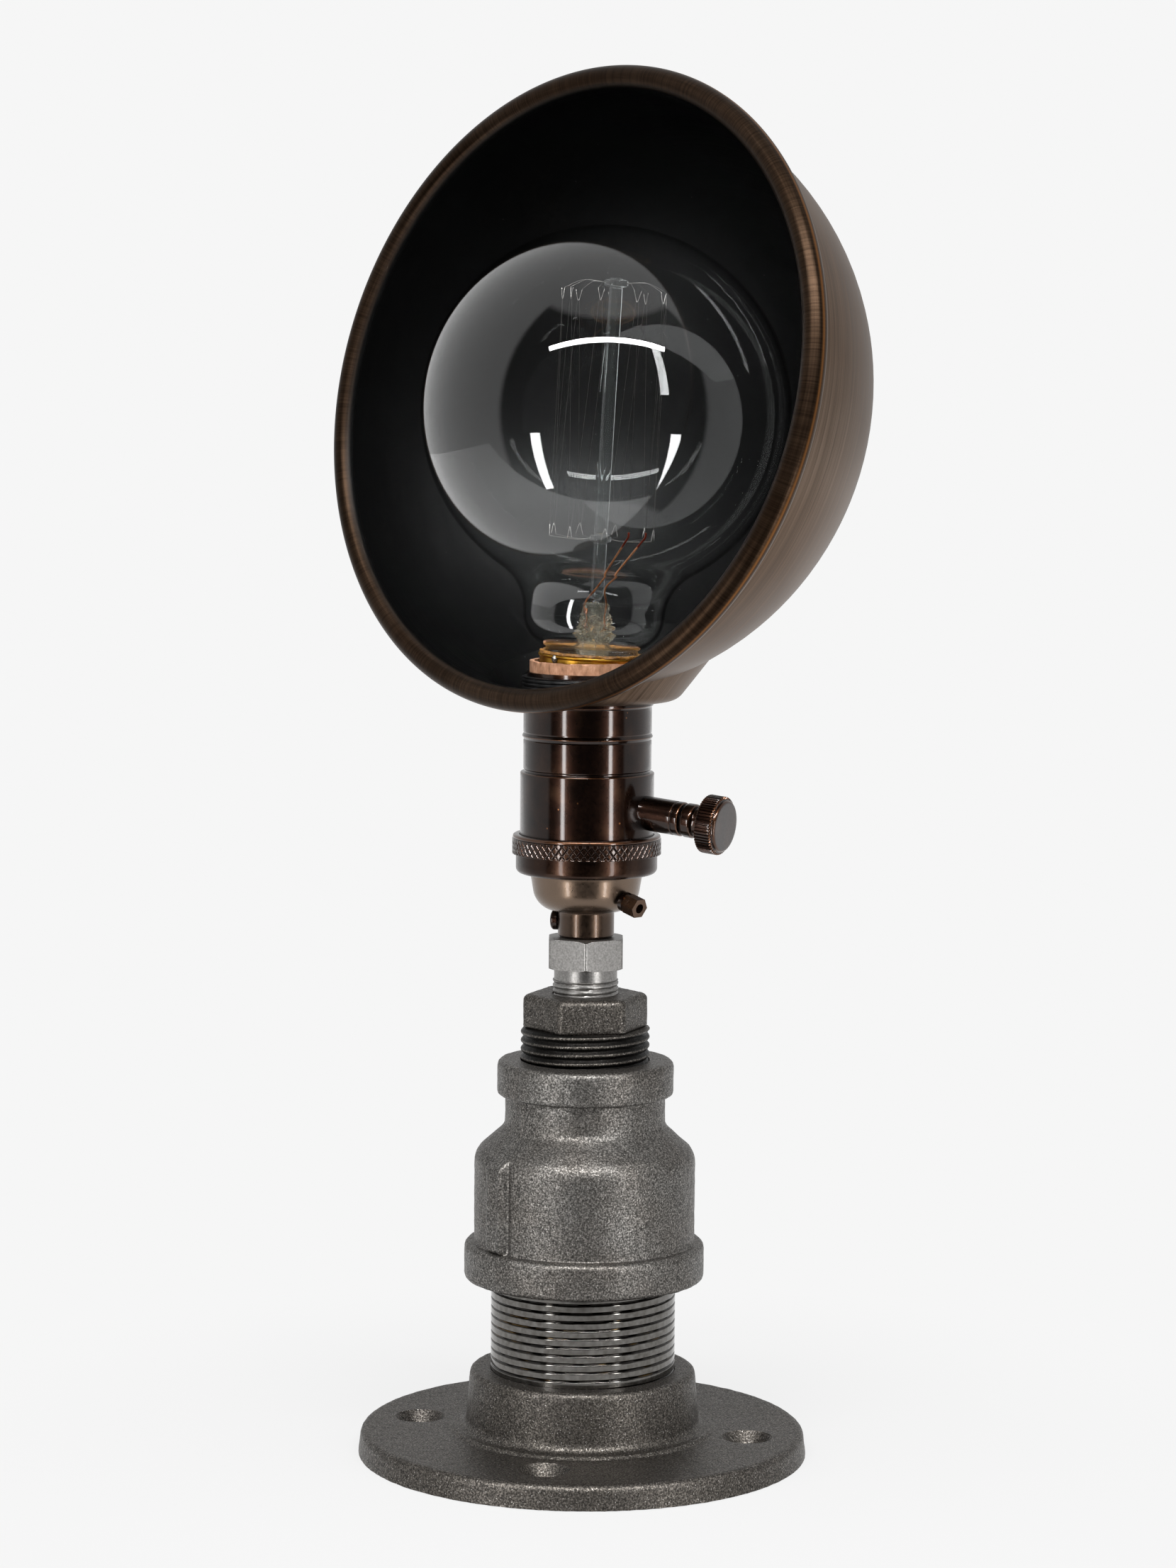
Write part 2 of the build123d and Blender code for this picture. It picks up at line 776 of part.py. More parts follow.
# Fixed stem of the switch, from the switch body out through the shell
with BuildPart() as switch_stem:
    tube(knob_plane, shaft_radius + stem_bore_gap, stem_radius, stem_seat, stem_end)
    outer_rim = switch_stem.faces().sort_by(Axis(knob_plane.origin, knob_plane.z_dir))[-1].outer_wire()
    chamfer(outer_rim.edges(), stem_chamfer)
save(switch_stem, "switch_stem")

# Turn knob: knurled disc with a raised face, waist and ring
knob_ring_start = stem_end + 2 * shaft_gap
knob_waist_start = knob_ring_start + knob_ring_length
knob_back = knob_waist_start + knob_waist_length
knob_front = knob_back + knob_thickness
with BuildPart() as turn_knob:
    tube(knob_plane, 0, knob_ring_radius, knob_ring_start, knob_waist_start)
    fillet(turn_knob.edges().filter_by(GeomType.CIRCLE), knob_ring_round)
    tube(knob_plane, 0, knob_waist_radius, knob_waist_start - knob_ring_round, knob_back)
    with BuildSketch(knob_plane.offset(knob_back)) as disc:
        Circle(knob_radius)
        with PolarLocations(knob_radius, knob_teeth):
            Rectangle(knob_tooth_depth * 2, pi * knob_radius / knob_teeth, mode=Mode.SUBTRACT)
    extrude(disc.sketch, amount=knob_thickness)
    tube(knob_plane, 0, knob_face_radius, knob_front, knob_front + knob_face)
    face_edge = turn_knob.faces().sort_by(Axis(knob_plane.origin, knob_plane.z_dir))[-1].edges()
    fillet(face_edge, knob_face_round)
    bore_end = knob_ring_start + knob_bore_depth
    tube(knob_plane, 0, shaft_radius + seat_gap, knob_ring_start, bore_end, mode=Mode.SUBTRACT)
save(turn_knob, "turn_knob")

# Shaft of the knob
with BuildPart() as knob_shaft:
    tube(knob_plane, 0, shaft_radius, seat_gap - shaft_back, bore_end - seat_gap)
save(knob_shaft, "knob_shaft")

# Rotor of the switch, a four-lobed cam on the shaft
with BuildPart() as switch_rotor:
    with BuildSketch(knob_plane.offset(-rotor_back)) as cam:
        Circle(rotor_radius)
        with PolarLocations(rotor_radius, rotor_lobes):
            Circle(rotor_notch_radius, mode=Mode.SUBTRACT)
        Circle(shaft_radius + seat_gap, mode=Mode.SUBTRACT)
    extrude(cam.sketch, amount=rotor_back + rotor_front)
save(switch_rotor, "switch_rotor")

# Shade: spun dome of two tangent arcs, with a rolled lip and a flat-bottomed boss for the socket
dome_side_centre = Vector(dome_radius - dome_side_radius, 0)
dome_crown_radius = (dome_side_centre.X**2 + dome_depth**2 - dome_side_radius**2) / (
    2 * (dome_depth - dome_side_radius)
)
dome_crown_centre = Vector(0, dome_crown_radius - dome_depth)
dome_join_angle = degrees(atan2(dome_crown_centre.Y, dome_side_centre.X))
shade_axis = Axis(shade_plane.origin, shade_plane.z_dir)


def dome_arcs(inset):
    # Outline of the dome from its crown to its rim, set in by part of the sheet
    crown = CenterArc(dome_crown_centre, dome_crown_radius - inset, -90, 90 - dome_join_angle)
    side = CenterArc(dome_side_centre, dome_side_radius - inset, -dome_join_angle, dome_join_angle)
    return crown, side


boss_z = seat_z + swivel_gap
boss_spread = tan(radians(boss_flare))
boss_inner_radius = boss_radius + sheet * (boss_spread - 1 / cos(radians(boss_flare)))
boss_corner = (boss_radius, boss_z)
boss_inner_corner = (boss_inner_radius, boss_z + sheet)
boss_front = shade_plane.offset(-lip_radius * sin(radians(lip_curl)) - seat_gap)
with BuildPart() as boss_hollow:
    turned(
        [
            (0, boss_z + sheet),
            boss_inner_corner,
            (boss_inner_radius + boss_rise * boss_spread, boss_z + sheet + boss_rise),
            (0, boss_z + sheet + boss_rise),
        ],
        rounds=[(boss_inner_corner, boss_round - sheet)],
    )
    split(bisect_by=boss_front.offset(-sheet), keep=Keep.BOTTOM)

with BuildPart() as boss:
    turned(
        [
            (0, boss_z),
            boss_corner,
            (boss_radius + boss_rise * boss_spread, boss_z + boss_rise),
            (0, boss_z + boss_rise),
        ],
        rounds=[(boss_corner, boss_round)],
    )
    split(bisect_by=boss_front, keep=Keep.BOTTOM)
    add(boss_hollow.part, mode=Mode.SUBTRACT)
    with BuildSketch(section_of(shade_plane)) as dome_inside:
        with BuildLine():
            crown, side = dome_arcs(sheet)
            Polyline(side @ 1, (0, 0), crown @ 0)
        make_face()
    revolve(dome_inside.sketch, axis=shade_axis, mode=Mode.SUBTRACT)

with BuildPart() as shade:
    with BuildSketch(section_of(shade_plane)) as wall:
        lip_centre = (dome_radius - sheet + lip_radius, 0)
        with BuildLine():
            outer_crown, outer_side = dome_arcs(0)
            inner_crown, inner_side = dome_arcs(sheet)
            lip_front = CenterArc(lip_centre, lip_radius, -lip_curl, 180 + lip_curl)
            lip_back = CenterArc(lip_centre, lip_radius - sheet, -lip_curl, 180 + lip_curl)
            Line(lip_front @ 0, lip_back @ 0)
            Line(outer_crown @ 0, inner_crown @ 0)
        make_face()
    revolve(wall.sketch, axis=shade_axis)
    add(boss_hollow.part, mode=Mode.SUBTRACT)
    add(boss.part)
    tube(Plane.XY, 0, neck_radius + swivel_bore_gap, seat_z, ring_z + ring_height, mode=Mode.SUBTRACT)
save(shade, "shade")

# Bulb base: brass cup with a flared rim, heights from the rim's top
with BuildPart() as bulb_base:
    cone_z = -base_height
    foot_z = cone_z - base_cone
    inner_radius = base_radius - base_wall
    insulator_seat = tip_insulator_radius
    turned(
        [
            (insulator_seat - base_wall, foot_z),
            (insulator_seat, foot_z),
            (base_radius, cone_z),
            (base_radius, -rim_height - rim_flare),
            (rim_radius, -rim_height),
            (rim_radius, 0),
            (rim_radius - base_wall, 0),
            (inner_radius, -rim_flare),
            (inner_radius, cone_z),
            (insulator_seat - base_wall, foot_z + base_wall),
        ],
        plane=bulb_plane,
    )
save(bulb_base, "bulb_base")

# Glass insulator in the foot of the base
with BuildPart() as base_insulator:
    insulator_foot_z = foot_z - tip_insulator_height
    turned(
        [
            (0, insulator_foot_z),
            (tip_insulator_foot, insulator_foot_z),
            (tip_insulator_radius - base_wall - seat_gap, foot_z),
            (tip_insulator_radius - base_wall - seat_gap, foot_z + base_wall),
            (0, foot_z + base_wall),
        ],
        plane=bulb_plane,
    )
save(base_insulator, "base_insulator")

# Contact tip under the insulator
with BuildPart() as contact_tip:
    turned(
        [
            (0, insulator_foot_z - tip_height),
            (tip_radius / 2, insulator_foot_z - tip_height),
            (tip_radius, insulator_foot_z),
            (0, insulator_foot_z),
        ],
        plane=bulb_plane,
    )
save(contact_tip, "contact_tip")

# Glass bulb: tail in the base, neck that flares into the globe
neck_arc_radius = (
    (glass_neck_radius**2 + (glass_centre - glass_neck) ** 2 - glass_radius**2)
    / (2 * (glass_radius - glass_neck_radius))
)
neck_arc_centre = Vector(glass_neck_radius + neck_arc_radius, glass_neck)
globe_centre = Vector(0, glass_centre)
globe_join = globe_centre + (neck_arc_centre - globe_centre).normalized() * glass_radius
foot_centre = Vector(glass_neck_radius - glass_foot_round, glass_neck)
foot_drop = (glass_foot_round**2 - (glass_tail_radius - foot_centre.X) ** 2) ** 0.5
foot_join = Vector(glass_tail_radius, glass_neck - foot_drop)
foot_turn = radians(glass_foot_bend)
foot_middle = foot_centre + Vector(cos(foot_turn), sin(foot_turn)) * glass_foot_round
neck_chord_middle = (globe_join + Vector(glass_neck_radius, glass_neck)) / 2
neck_middle = neck_arc_centre + (neck_chord_middle - neck_arc_centre).normalized() * neck_arc_radius
with BuildPart() as bulb_glass:
    with BuildSketch(section_of(bulb_plane)) as envelope:
        with BuildLine():
            Line((0, -glass_tail), (glass_tail_radius, -glass_tail))
            Line((glass_tail_radius, -glass_tail), foot_join)
            ThreePointArc(foot_join, foot_middle, (glass_neck_radius, glass_neck))
            ThreePointArc((glass_neck_radius, glass_neck), neck_middle, globe_join)
            ThreePointArc(globe_join, (glass_radius, glass_centre), (0, glass_centre + glass_radius))
            Line((0, glass_centre + glass_radius), (0, -glass_tail))
        make_face()
    revolve(envelope.sketch, axis=Axis(bulb_plane.origin, bulb_plane.z_dir))
    tail_face = bulb_glass.faces().sort_by(Axis(bulb_plane.origin, bulb_plane.z_dir))[0]
    offset(amount=-glass_wall, openings=tail_face)
save(bulb_glass, "bulb_glass")

# Cement ring between the glass and the rim
with BuildPart() as base_cement:
    tube(bulb_plane, glass_tail_radius + seat_gap, cement_radius, seat_gap, seat_gap + cement_height)
    fillet(base_cement.edges().filter_by(GeomType.CIRCLE).sort_by(SortBy.RADIUS)[-2:], cement_height / 3)
save(base_cement, "base_cement")

# Solder bead on the rim
with BuildPart() as side_solder:
    solder_turn = radians(solder_angle - bulb_lean_angle)
    solder_at = (rim_radius * cos(solder_turn), rim_radius * sin(solder_turn), -rim_height)
    with Locations(bulb_plane * Location(solder_at)):
        Sphere(solder_radius)
    rim_clear = rim_radius + seat_gap
    solder_foot = -rim_height - rim_flare - solder_radius
    tube(bulb_plane, 0, rim_clear, solder_foot, solder_radius * 2, mode=Mode.SUBTRACT)
save(side_solder, "side_solder")

# Stem: flared glass tube that is pressed flat around the leads
with BuildPart() as glass_stem:
    turned(
        [
            (flare_radius - flare_wall, -glass_tail),
            (flare_radius, -glass_tail),
            (flare_neck_radius, flare_height),
            (flare_neck_radius - flare_wall, flare_height),
        ],
        plane=bulb_plane,
    )
    with BuildSketch(mount_plane.offset(flare_height)) as press:
        RectangleRounded(press_width, press_thickness, press_thickness / 3)
    extrude(press.sketch, amount=press_top - flare_height)
save(glass_stem, "glass_stem")

# Glass rod with the two beads that hold the support wires
with BuildPart() as glass_rod:
    tube(mount_plane, 0, rod_radius, press_top, rod_top)
    for middle, radius in ((upper_bead, upper_bead_radius), (lower_bead, lower_bead_radius)):
        tube(mount_plane, 0, radius, middle - bead_height / 2, middle + bead_height / 2)
    fillet(glass_rod.faces().sort_by(Axis(bulb_plane.origin, bulb_plane.z_dir))[-1].edges(), rod_radius / 2)
save(glass_rod, "glass_rod")

hook_step = 360 / hook_count


def on_cage(radius, angle, height):
    # Point at a radius and a turn about the rod's axis, at a height above the rim
    turn = radians(angle)
    return mount_plane.from_local_coords(Vector(radius * cos(turn), radius * sin(turn), height))


def wire(points, radius, bends=None):
    # Round wire along straight runs, with tangent bends where a bend radius is given
    with BuildLine() as path:
        if bends:
            FilletPolyline(*points, radius=bends)
        else:
            Polyline(*points)
    with BuildSketch(Plane(origin=path.line @ 0, z_dir=path.line % 0)) as section:
        Circle(radius)
    sweep(section.sketch, path=path.line)


# Support wires from each bead out to the bends of the filament
hook_reach = cage_radius - filament_radius - hook_radius - hook_gap
cage_ends = (
    ("upper_supports", upper_bead, upper_bead_radius, cage_top, cage_turn + hook_step / 2, hook_count),
    ("lower_supports", lower_bead, lower_bead_radius, cage_bottom, cage_turn + hook_step, hook_count - 1),
)
for name, bead, bead_radius, cage_end, first_angle, count in cage_ends:
    with BuildPart() as supports:
        for index in range(count):
            angle = first_angle + index * hook_step
            wire(
                [on_cage(bead_radius + seat_gap, angle, bead), on_cage(hook_reach, angle, cage_end)],
                hook_radius,
            )
    save(supports, name)

# Filament: one wire that runs up and down the cage and bends round each support
half_turn = filament_turn_width / 2 / cage_radius * 180 / pi
filament_points = [on_cage(cage_radius, cage_turn + lead_spread, cage_bottom)]
for index in range(hook_count):
    top_angle = cage_turn + (index + 0.5) * hook_step
    bottom_angle = cage_turn + (index + 1) * hook_step
    filament_points.append(on_cage(cage_radius, top_angle - half_turn, cage_top))
    filament_points.append(on_cage(cage_radius, top_angle + half_turn, cage_top))
    if index < hook_count - 1:
        filament_points.append(on_cage(cage_radius, bottom_angle - half_turn, cage_bottom))
        filament_points.append(on_cage(cage_radius, bottom_angle + half_turn, cage_bottom))
filament_points.append(on_cage(cage_radius, cage_turn - lead_spread, cage_bottom))
with BuildPart() as filament:
    wire(filament_points, filament_radius, filament_bend)
save(filament, "filament")

# Two lead wires from the press to the ends of the filament, one of them past the front of the rod
lead_start = rod_radius + 3 * lead_radius
lead_clear = rod_radius + 5 * lead_radius
lead_end = cage_bottom - lead_radius - 2 * filament_radius
with BuildPart() as lead_wires:
    for side, start_angle, knee_angle in ((1, 0, -30), (-1, 180, -100)):
        wire(
            [
                on_cage(lead_start, start_angle, press_top + lead_radius),
                on_cage(lead_clear, knee_angle, press_top + lead_knee),
                on_cage(cage_radius, cage_turn + side * lead_spread, lead_end),
            ],
            lead_radius,
            lead_knee / 4,
        )
save(lead_wires, "lead_wires")
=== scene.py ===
import math

import bmesh
import bpy
import numpy as np
from mathutils import Euler, Matrix, Vector, noise


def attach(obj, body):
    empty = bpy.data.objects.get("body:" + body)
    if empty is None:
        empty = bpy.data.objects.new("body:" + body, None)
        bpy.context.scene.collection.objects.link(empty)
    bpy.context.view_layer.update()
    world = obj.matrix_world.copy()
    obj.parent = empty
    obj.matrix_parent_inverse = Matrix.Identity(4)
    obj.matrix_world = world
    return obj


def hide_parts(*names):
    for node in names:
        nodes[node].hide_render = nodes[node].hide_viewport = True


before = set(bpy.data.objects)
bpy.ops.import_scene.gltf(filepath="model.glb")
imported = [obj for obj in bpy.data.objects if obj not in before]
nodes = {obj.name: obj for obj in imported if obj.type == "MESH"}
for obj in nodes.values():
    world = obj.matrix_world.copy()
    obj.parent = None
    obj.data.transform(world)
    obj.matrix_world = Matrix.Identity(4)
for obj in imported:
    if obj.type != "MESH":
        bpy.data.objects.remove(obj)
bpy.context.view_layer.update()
print("frame loaded:", len(nodes), "nodes")

mm = 0.001
standPlace = Matrix.Scale(mm, 4)

# the bulb leans a little in its socket, heights count from the brass rim
lean = math.radians(3.07)
leanTurn = math.radians(43.4)
leanAxis = Vector((math.cos(leanTurn) * math.sin(lean), math.sin(leanTurn) * math.sin(lean), math.cos(lean)))
leanSide = Vector((math.cos(leanTurn) * math.cos(lean), math.sin(leanTurn) * math.cos(lean), -math.sin(lean)))
bulbRim = Vector((0, 0, 193.4)) + leanAxis * 16.2


def framePlace(origin, sideways, along):
    # matrix from a piece's own millimetres to the lamp's metres
    turn = Matrix((sideways, along.cross(sideways), along)).transposed().to_4x4()
    return Matrix.Scale(mm, 4) @ Matrix.Translation(origin) @ turn


bulbPlace = framePlace(bulbRim, leanSide, leanAxis)

# shade axis: leaves the dome through its opening
shadeTilt = math.radians(12.04)
shadeAxis = Vector((0, -math.cos(shadeTilt), math.sin(shadeTilt)))
shadeCentre = Vector((0, -8.1, 276.7))


# colours and nodes

def linear(hexColour):
    parts = [int(hexColour[i:i + 2], 16) / 255 for i in (1, 3, 5)]
    return tuple(c / 12.92 if c <= 0.04045 else ((c + 0.055) / 1.055) ** 2.4 for c in parts) + (1.0,)


def grain(sizeMm):
    # texture scale whose features are about this wide
    return 1 / (sizeMm * mm)


def fillStops(colours, stops):
    # a stop's colour is a hex value, or a number for a grey
    while len(colours.elements) < len(stops):
        colours.elements.new(0.5)
    for element, (place, colour) in zip(colours.elements, stops):
        element.position = place
        element.color = linear(colour) if isinstance(colour, str) else (colour, colour, colour, 1)


def addNode(tree, kind, settings=None, links=None):
    node = tree.nodes.new(kind)
    for key, value in (settings or {}).items():
        if key == "stops":
            fillStops(node.color_ramp, value)
        elif isinstance(key, int) or key in node.inputs:
            node.inputs[key].default_value = value
        else:
            setattr(node, key, value)
    for key, source in (links or {}).items():
        tree.links.new(source, node.inputs[key])
    return node


def newMaterial(name, settings):
    material = bpy.data.materials.new(name)
    material.use_nodes = True
    tree = material.node_tree
    shader = tree.nodes["Principled BSDF"]
    for key, value in settings.items():
        shader.inputs[key].default_value = value
    spot = addNode(tree, "ShaderNodeTexCoord").outputs["Object"]
    return material, tree, shader, spot


def sandCastIron(name, dullWash, wash):
    # malleable iron cast in sand and left bare: dull grey grains, bright rubbed specks,
    # thread roots painted near-black as shade
    # the real grit is near 0.3 mm, and is drawn half as coarse again so that it shows
    material, tree, shader, spot = newMaterial(name, {"Metallic": 0.9, "Roughness": 0.42})
    grit = addNode(tree, "ShaderNodeTexNoise", {"Scale": grain(0.45), "Detail": 3, "Roughness": 0.62},
                   {"Vector": spot})
    clumps = addNode(tree, "ShaderNodeTexNoise", {"Scale": grain(14), "Detail": 3}, {"Vector": spot})
    specks = addNode(tree, "ShaderNodeTexVoronoi", {"Scale": grain(0.9), "Randomness": 1.0}, {"Vector": spot})
    body = addNode(tree, "ShaderNodeValToRGB",
                   {"stops": [(0.32, "#2a2928"), (0.5, "#5b5956"), (0.68, "#9a9793")]},
                   {"Fac": grit.outputs["Fac"]}).outputs["Color"]
    tint = addNode(tree, "ShaderNodeValToRGB", {"stops": [(0.35, dullWash), (0.65, wash)]},
                   {"Fac": clumps.outputs["Fac"]}).outputs["Color"]
    mixed = addNode(tree, "ShaderNodeMix", {"data_type": "RGBA", "blend_type": "MULTIPLY", 0: 1.0},
                    {6: body, 7: tint})
    shine = addNode(tree, "ShaderNodeValToRGB", {"stops": [(0.08, 0.8), (0.17, 0.0)]},
                    {"Fac": specks.outputs["Distance"]}).outputs["Color"]
    bright = addNode(tree, "ShaderNodeMix", {"data_type": "RGBA", 7: linear("#c9c5c0")},
                     {0: shine, 6: mixed.outputs[2]})
    # painted shade: the deeper a thread root, the nearer to black it is painted
    depth = addNode(tree, "ShaderNodeAttribute", {"attribute_name": "threadDepth"})
    rootShade = addNode(tree, "ShaderNodeValToRGB", {"stops": [(0.03, 0.0), (0.25, 0.95)]},
                  {"Fac": depth.outputs["Fac"]}).outputs["Color"]
    rootShaded = addNode(tree, "ShaderNodeMix", {"data_type": "RGBA", 7: linear("#0b0a09")},
                    {0: rootShade, 6: bright.outputs[2]})
    tree.links.new(rootShaded.outputs[2], shader.inputs["Base Color"])
    dull = addNode(tree, "ShaderNodeMapRange",
                   {"From Min": 0.3, "From Max": 0.7, "To Min": 0.54, "To Max": 0.36},
                   {"Value": grit.outputs["Fac"]})
    tree.links.new(dull.outputs["Result"], shader.inputs["Roughness"])
    bump = addNode(tree, "ShaderNodeBump", {"Strength": 0.6, "Distance": 0.16 * mm},
                   {"Height": grit.outputs["Fac"]})
    tree.links.new(bump.outputs["Normal"], shader.inputs["Normal"])
    return material


def turnedSteel():
    # pipe steel cut on a lathe: mirror-like thread flanks, oil left brown in some roots, thread grooves
    # painted darker as shade
    material, tree, shader, spot = newMaterial("turnedSteel", {"Metallic": 1.0, "Roughness": 0.2})
    depth = addNode(tree, "ShaderNodeAttribute", {"attribute_name": "threadDepth"})
    stain = addNode(tree, "ShaderNodeTexNoise", {"Scale": grain(9), "Detail": 3}, {"Vector": spot})
    patches = addNode(tree, "ShaderNodeValToRGB", {"stops": [(0.57, 0.0), (0.66, 1.0)]},
                      {"Fac": stain.outputs["Fac"]}).outputs["Color"]
    roots = addNode(tree, "ShaderNodeValToRGB", {"stops": [(0.45, 0.0), (0.85, 1.0)]},
                    {"Fac": depth.outputs["Fac"]}).outputs["Color"]
    oily = addNode(tree, "ShaderNodeMath", {"operation": "MULTIPLY"}, {0: patches, 1: roots})
    wear = addNode(tree, "ShaderNodeTexNoise", {"Scale": grain(1.6), "Detail": 4}, {"Vector": spot})
    # painted shade: the steel is painted darker from the thread's crest down to its root
    grooveShade = addNode(tree, "ShaderNodeValToRGB",
                     {"stops": [(0.0, "#787673"), (0.1, "#545250"), (0.5, "#3e3c3a")]},
                     {"Fac": depth.outputs["Fac"]}).outputs["Color"]
    patchy = addNode(tree, "ShaderNodeValToRGB", {"stops": [(0.3, "#c4c2be"), (0.7, "#ffffff")]},
                     {"Fac": wear.outputs["Fac"]}).outputs["Color"]
    steel = addNode(tree, "ShaderNodeMix", {"data_type": "RGBA", "blend_type": "MULTIPLY", 0: 1.0},
                    {6: grooveShade, 7: patchy}).outputs[2]
    mixed = addNode(tree, "ShaderNodeMix", {"data_type": "RGBA", 7: linear("#57421a")},
                    {0: oily.outputs[0], 6: steel})
    tree.links.new(mixed.outputs[2], shader.inputs["Base Color"])
    rough = addNode(tree, "ShaderNodeMapRange", {"To Min": 0.07, "To Max": 0.16},
                    {"Value": wear.outputs["Fac"]})
    tree.links.new(rough.outputs["Result"], shader.inputs["Roughness"])
    return material


def zincPlate():
    # steel with a satin zinc plating: even light grey with a fine frosted grain
    material, tree, shader, spot = newMaterial("zincPlate", {"Metallic": 1.0, "Roughness": 0.38})
    frost = addNode(tree, "ShaderNodeTexNoise", {"Scale": grain(0.5), "Detail": 3}, {"Vector": spot})
    shade = addNode(tree, "ShaderNodeValToRGB", {"stops": [(0.3, "#7b7977"), (0.7, "#9e9c99")]},
                    {"Fac": frost.outputs["Fac"]}).outputs["Color"]
    tree.links.new(shade, shader.inputs["Base Color"])
    bump = addNode(tree, "ShaderNodeBump", {"Strength": 0.3, "Distance": 0.06 * mm},
                   {"Height": frost.outputs["Fac"]})
    tree.links.new(bump.outputs["Normal"], shader.inputs["Normal"])
    return material


def bronzedBrass(name, coat, stains, wornColour):
    # brass stained dark by oil rubbing, under clear lacquer: near-black brown, copper nicks and rubbed edges
    material, tree, shader, spot = newMaterial(
        name, {"Metallic": 1.0, "Roughness": 0.3, "Coat Weight": coat, "Coat Roughness": 0.1, "Coat IOR": 1.5}
    )
    cloud = addNode(tree, "ShaderNodeTexNoise", {"Scale": grain(7), "Detail": 4}, {"Vector": spot})
    stain = addNode(tree, "ShaderNodeValToRGB", {"stops": list(zip((0.3, 0.55, 0.8), stains))},
                    {"Fac": cloud.outputs["Fac"]}).outputs["Color"]
    fleck = addNode(tree, "ShaderNodeTexVoronoi", {"Scale": grain(4.5)}, {"Vector": spot})
    nicks = addNode(tree, "ShaderNodeValToRGB", {"stops": [(0.04, 0.9), (0.07, 0.0)]},
                    {"Fac": fleck.outputs["Distance"]}).outputs["Color"]
    edge = addNode(tree, "ShaderNodeAttribute", {"attribute_name": "rubbed"})
    worn = addNode(tree, "ShaderNodeMath", {"operation": "MAXIMUM"}, {0: nicks, 1: edge.outputs["Fac"]})
    mixed = addNode(tree, "ShaderNodeMix", {"data_type": "RGBA", 7: linear(wornColour)},
                    {0: worn.outputs[0], 6: stain})
    tree.links.new(mixed.outputs[2], shader.inputs["Base Color"])
    rub = addNode(tree, "ShaderNodeTexNoise", {"Scale": grain(0.8), "Detail": 3}, {"Vector": spot})
    rough = addNode(tree, "ShaderNodeMapRange", {"To Min": 0.2, "To Max": 0.42},
                    {"Value": rub.outputs["Fac"]})
    tree.links.new(rough.outputs["Result"], shader.inputs["Roughness"])
    return material


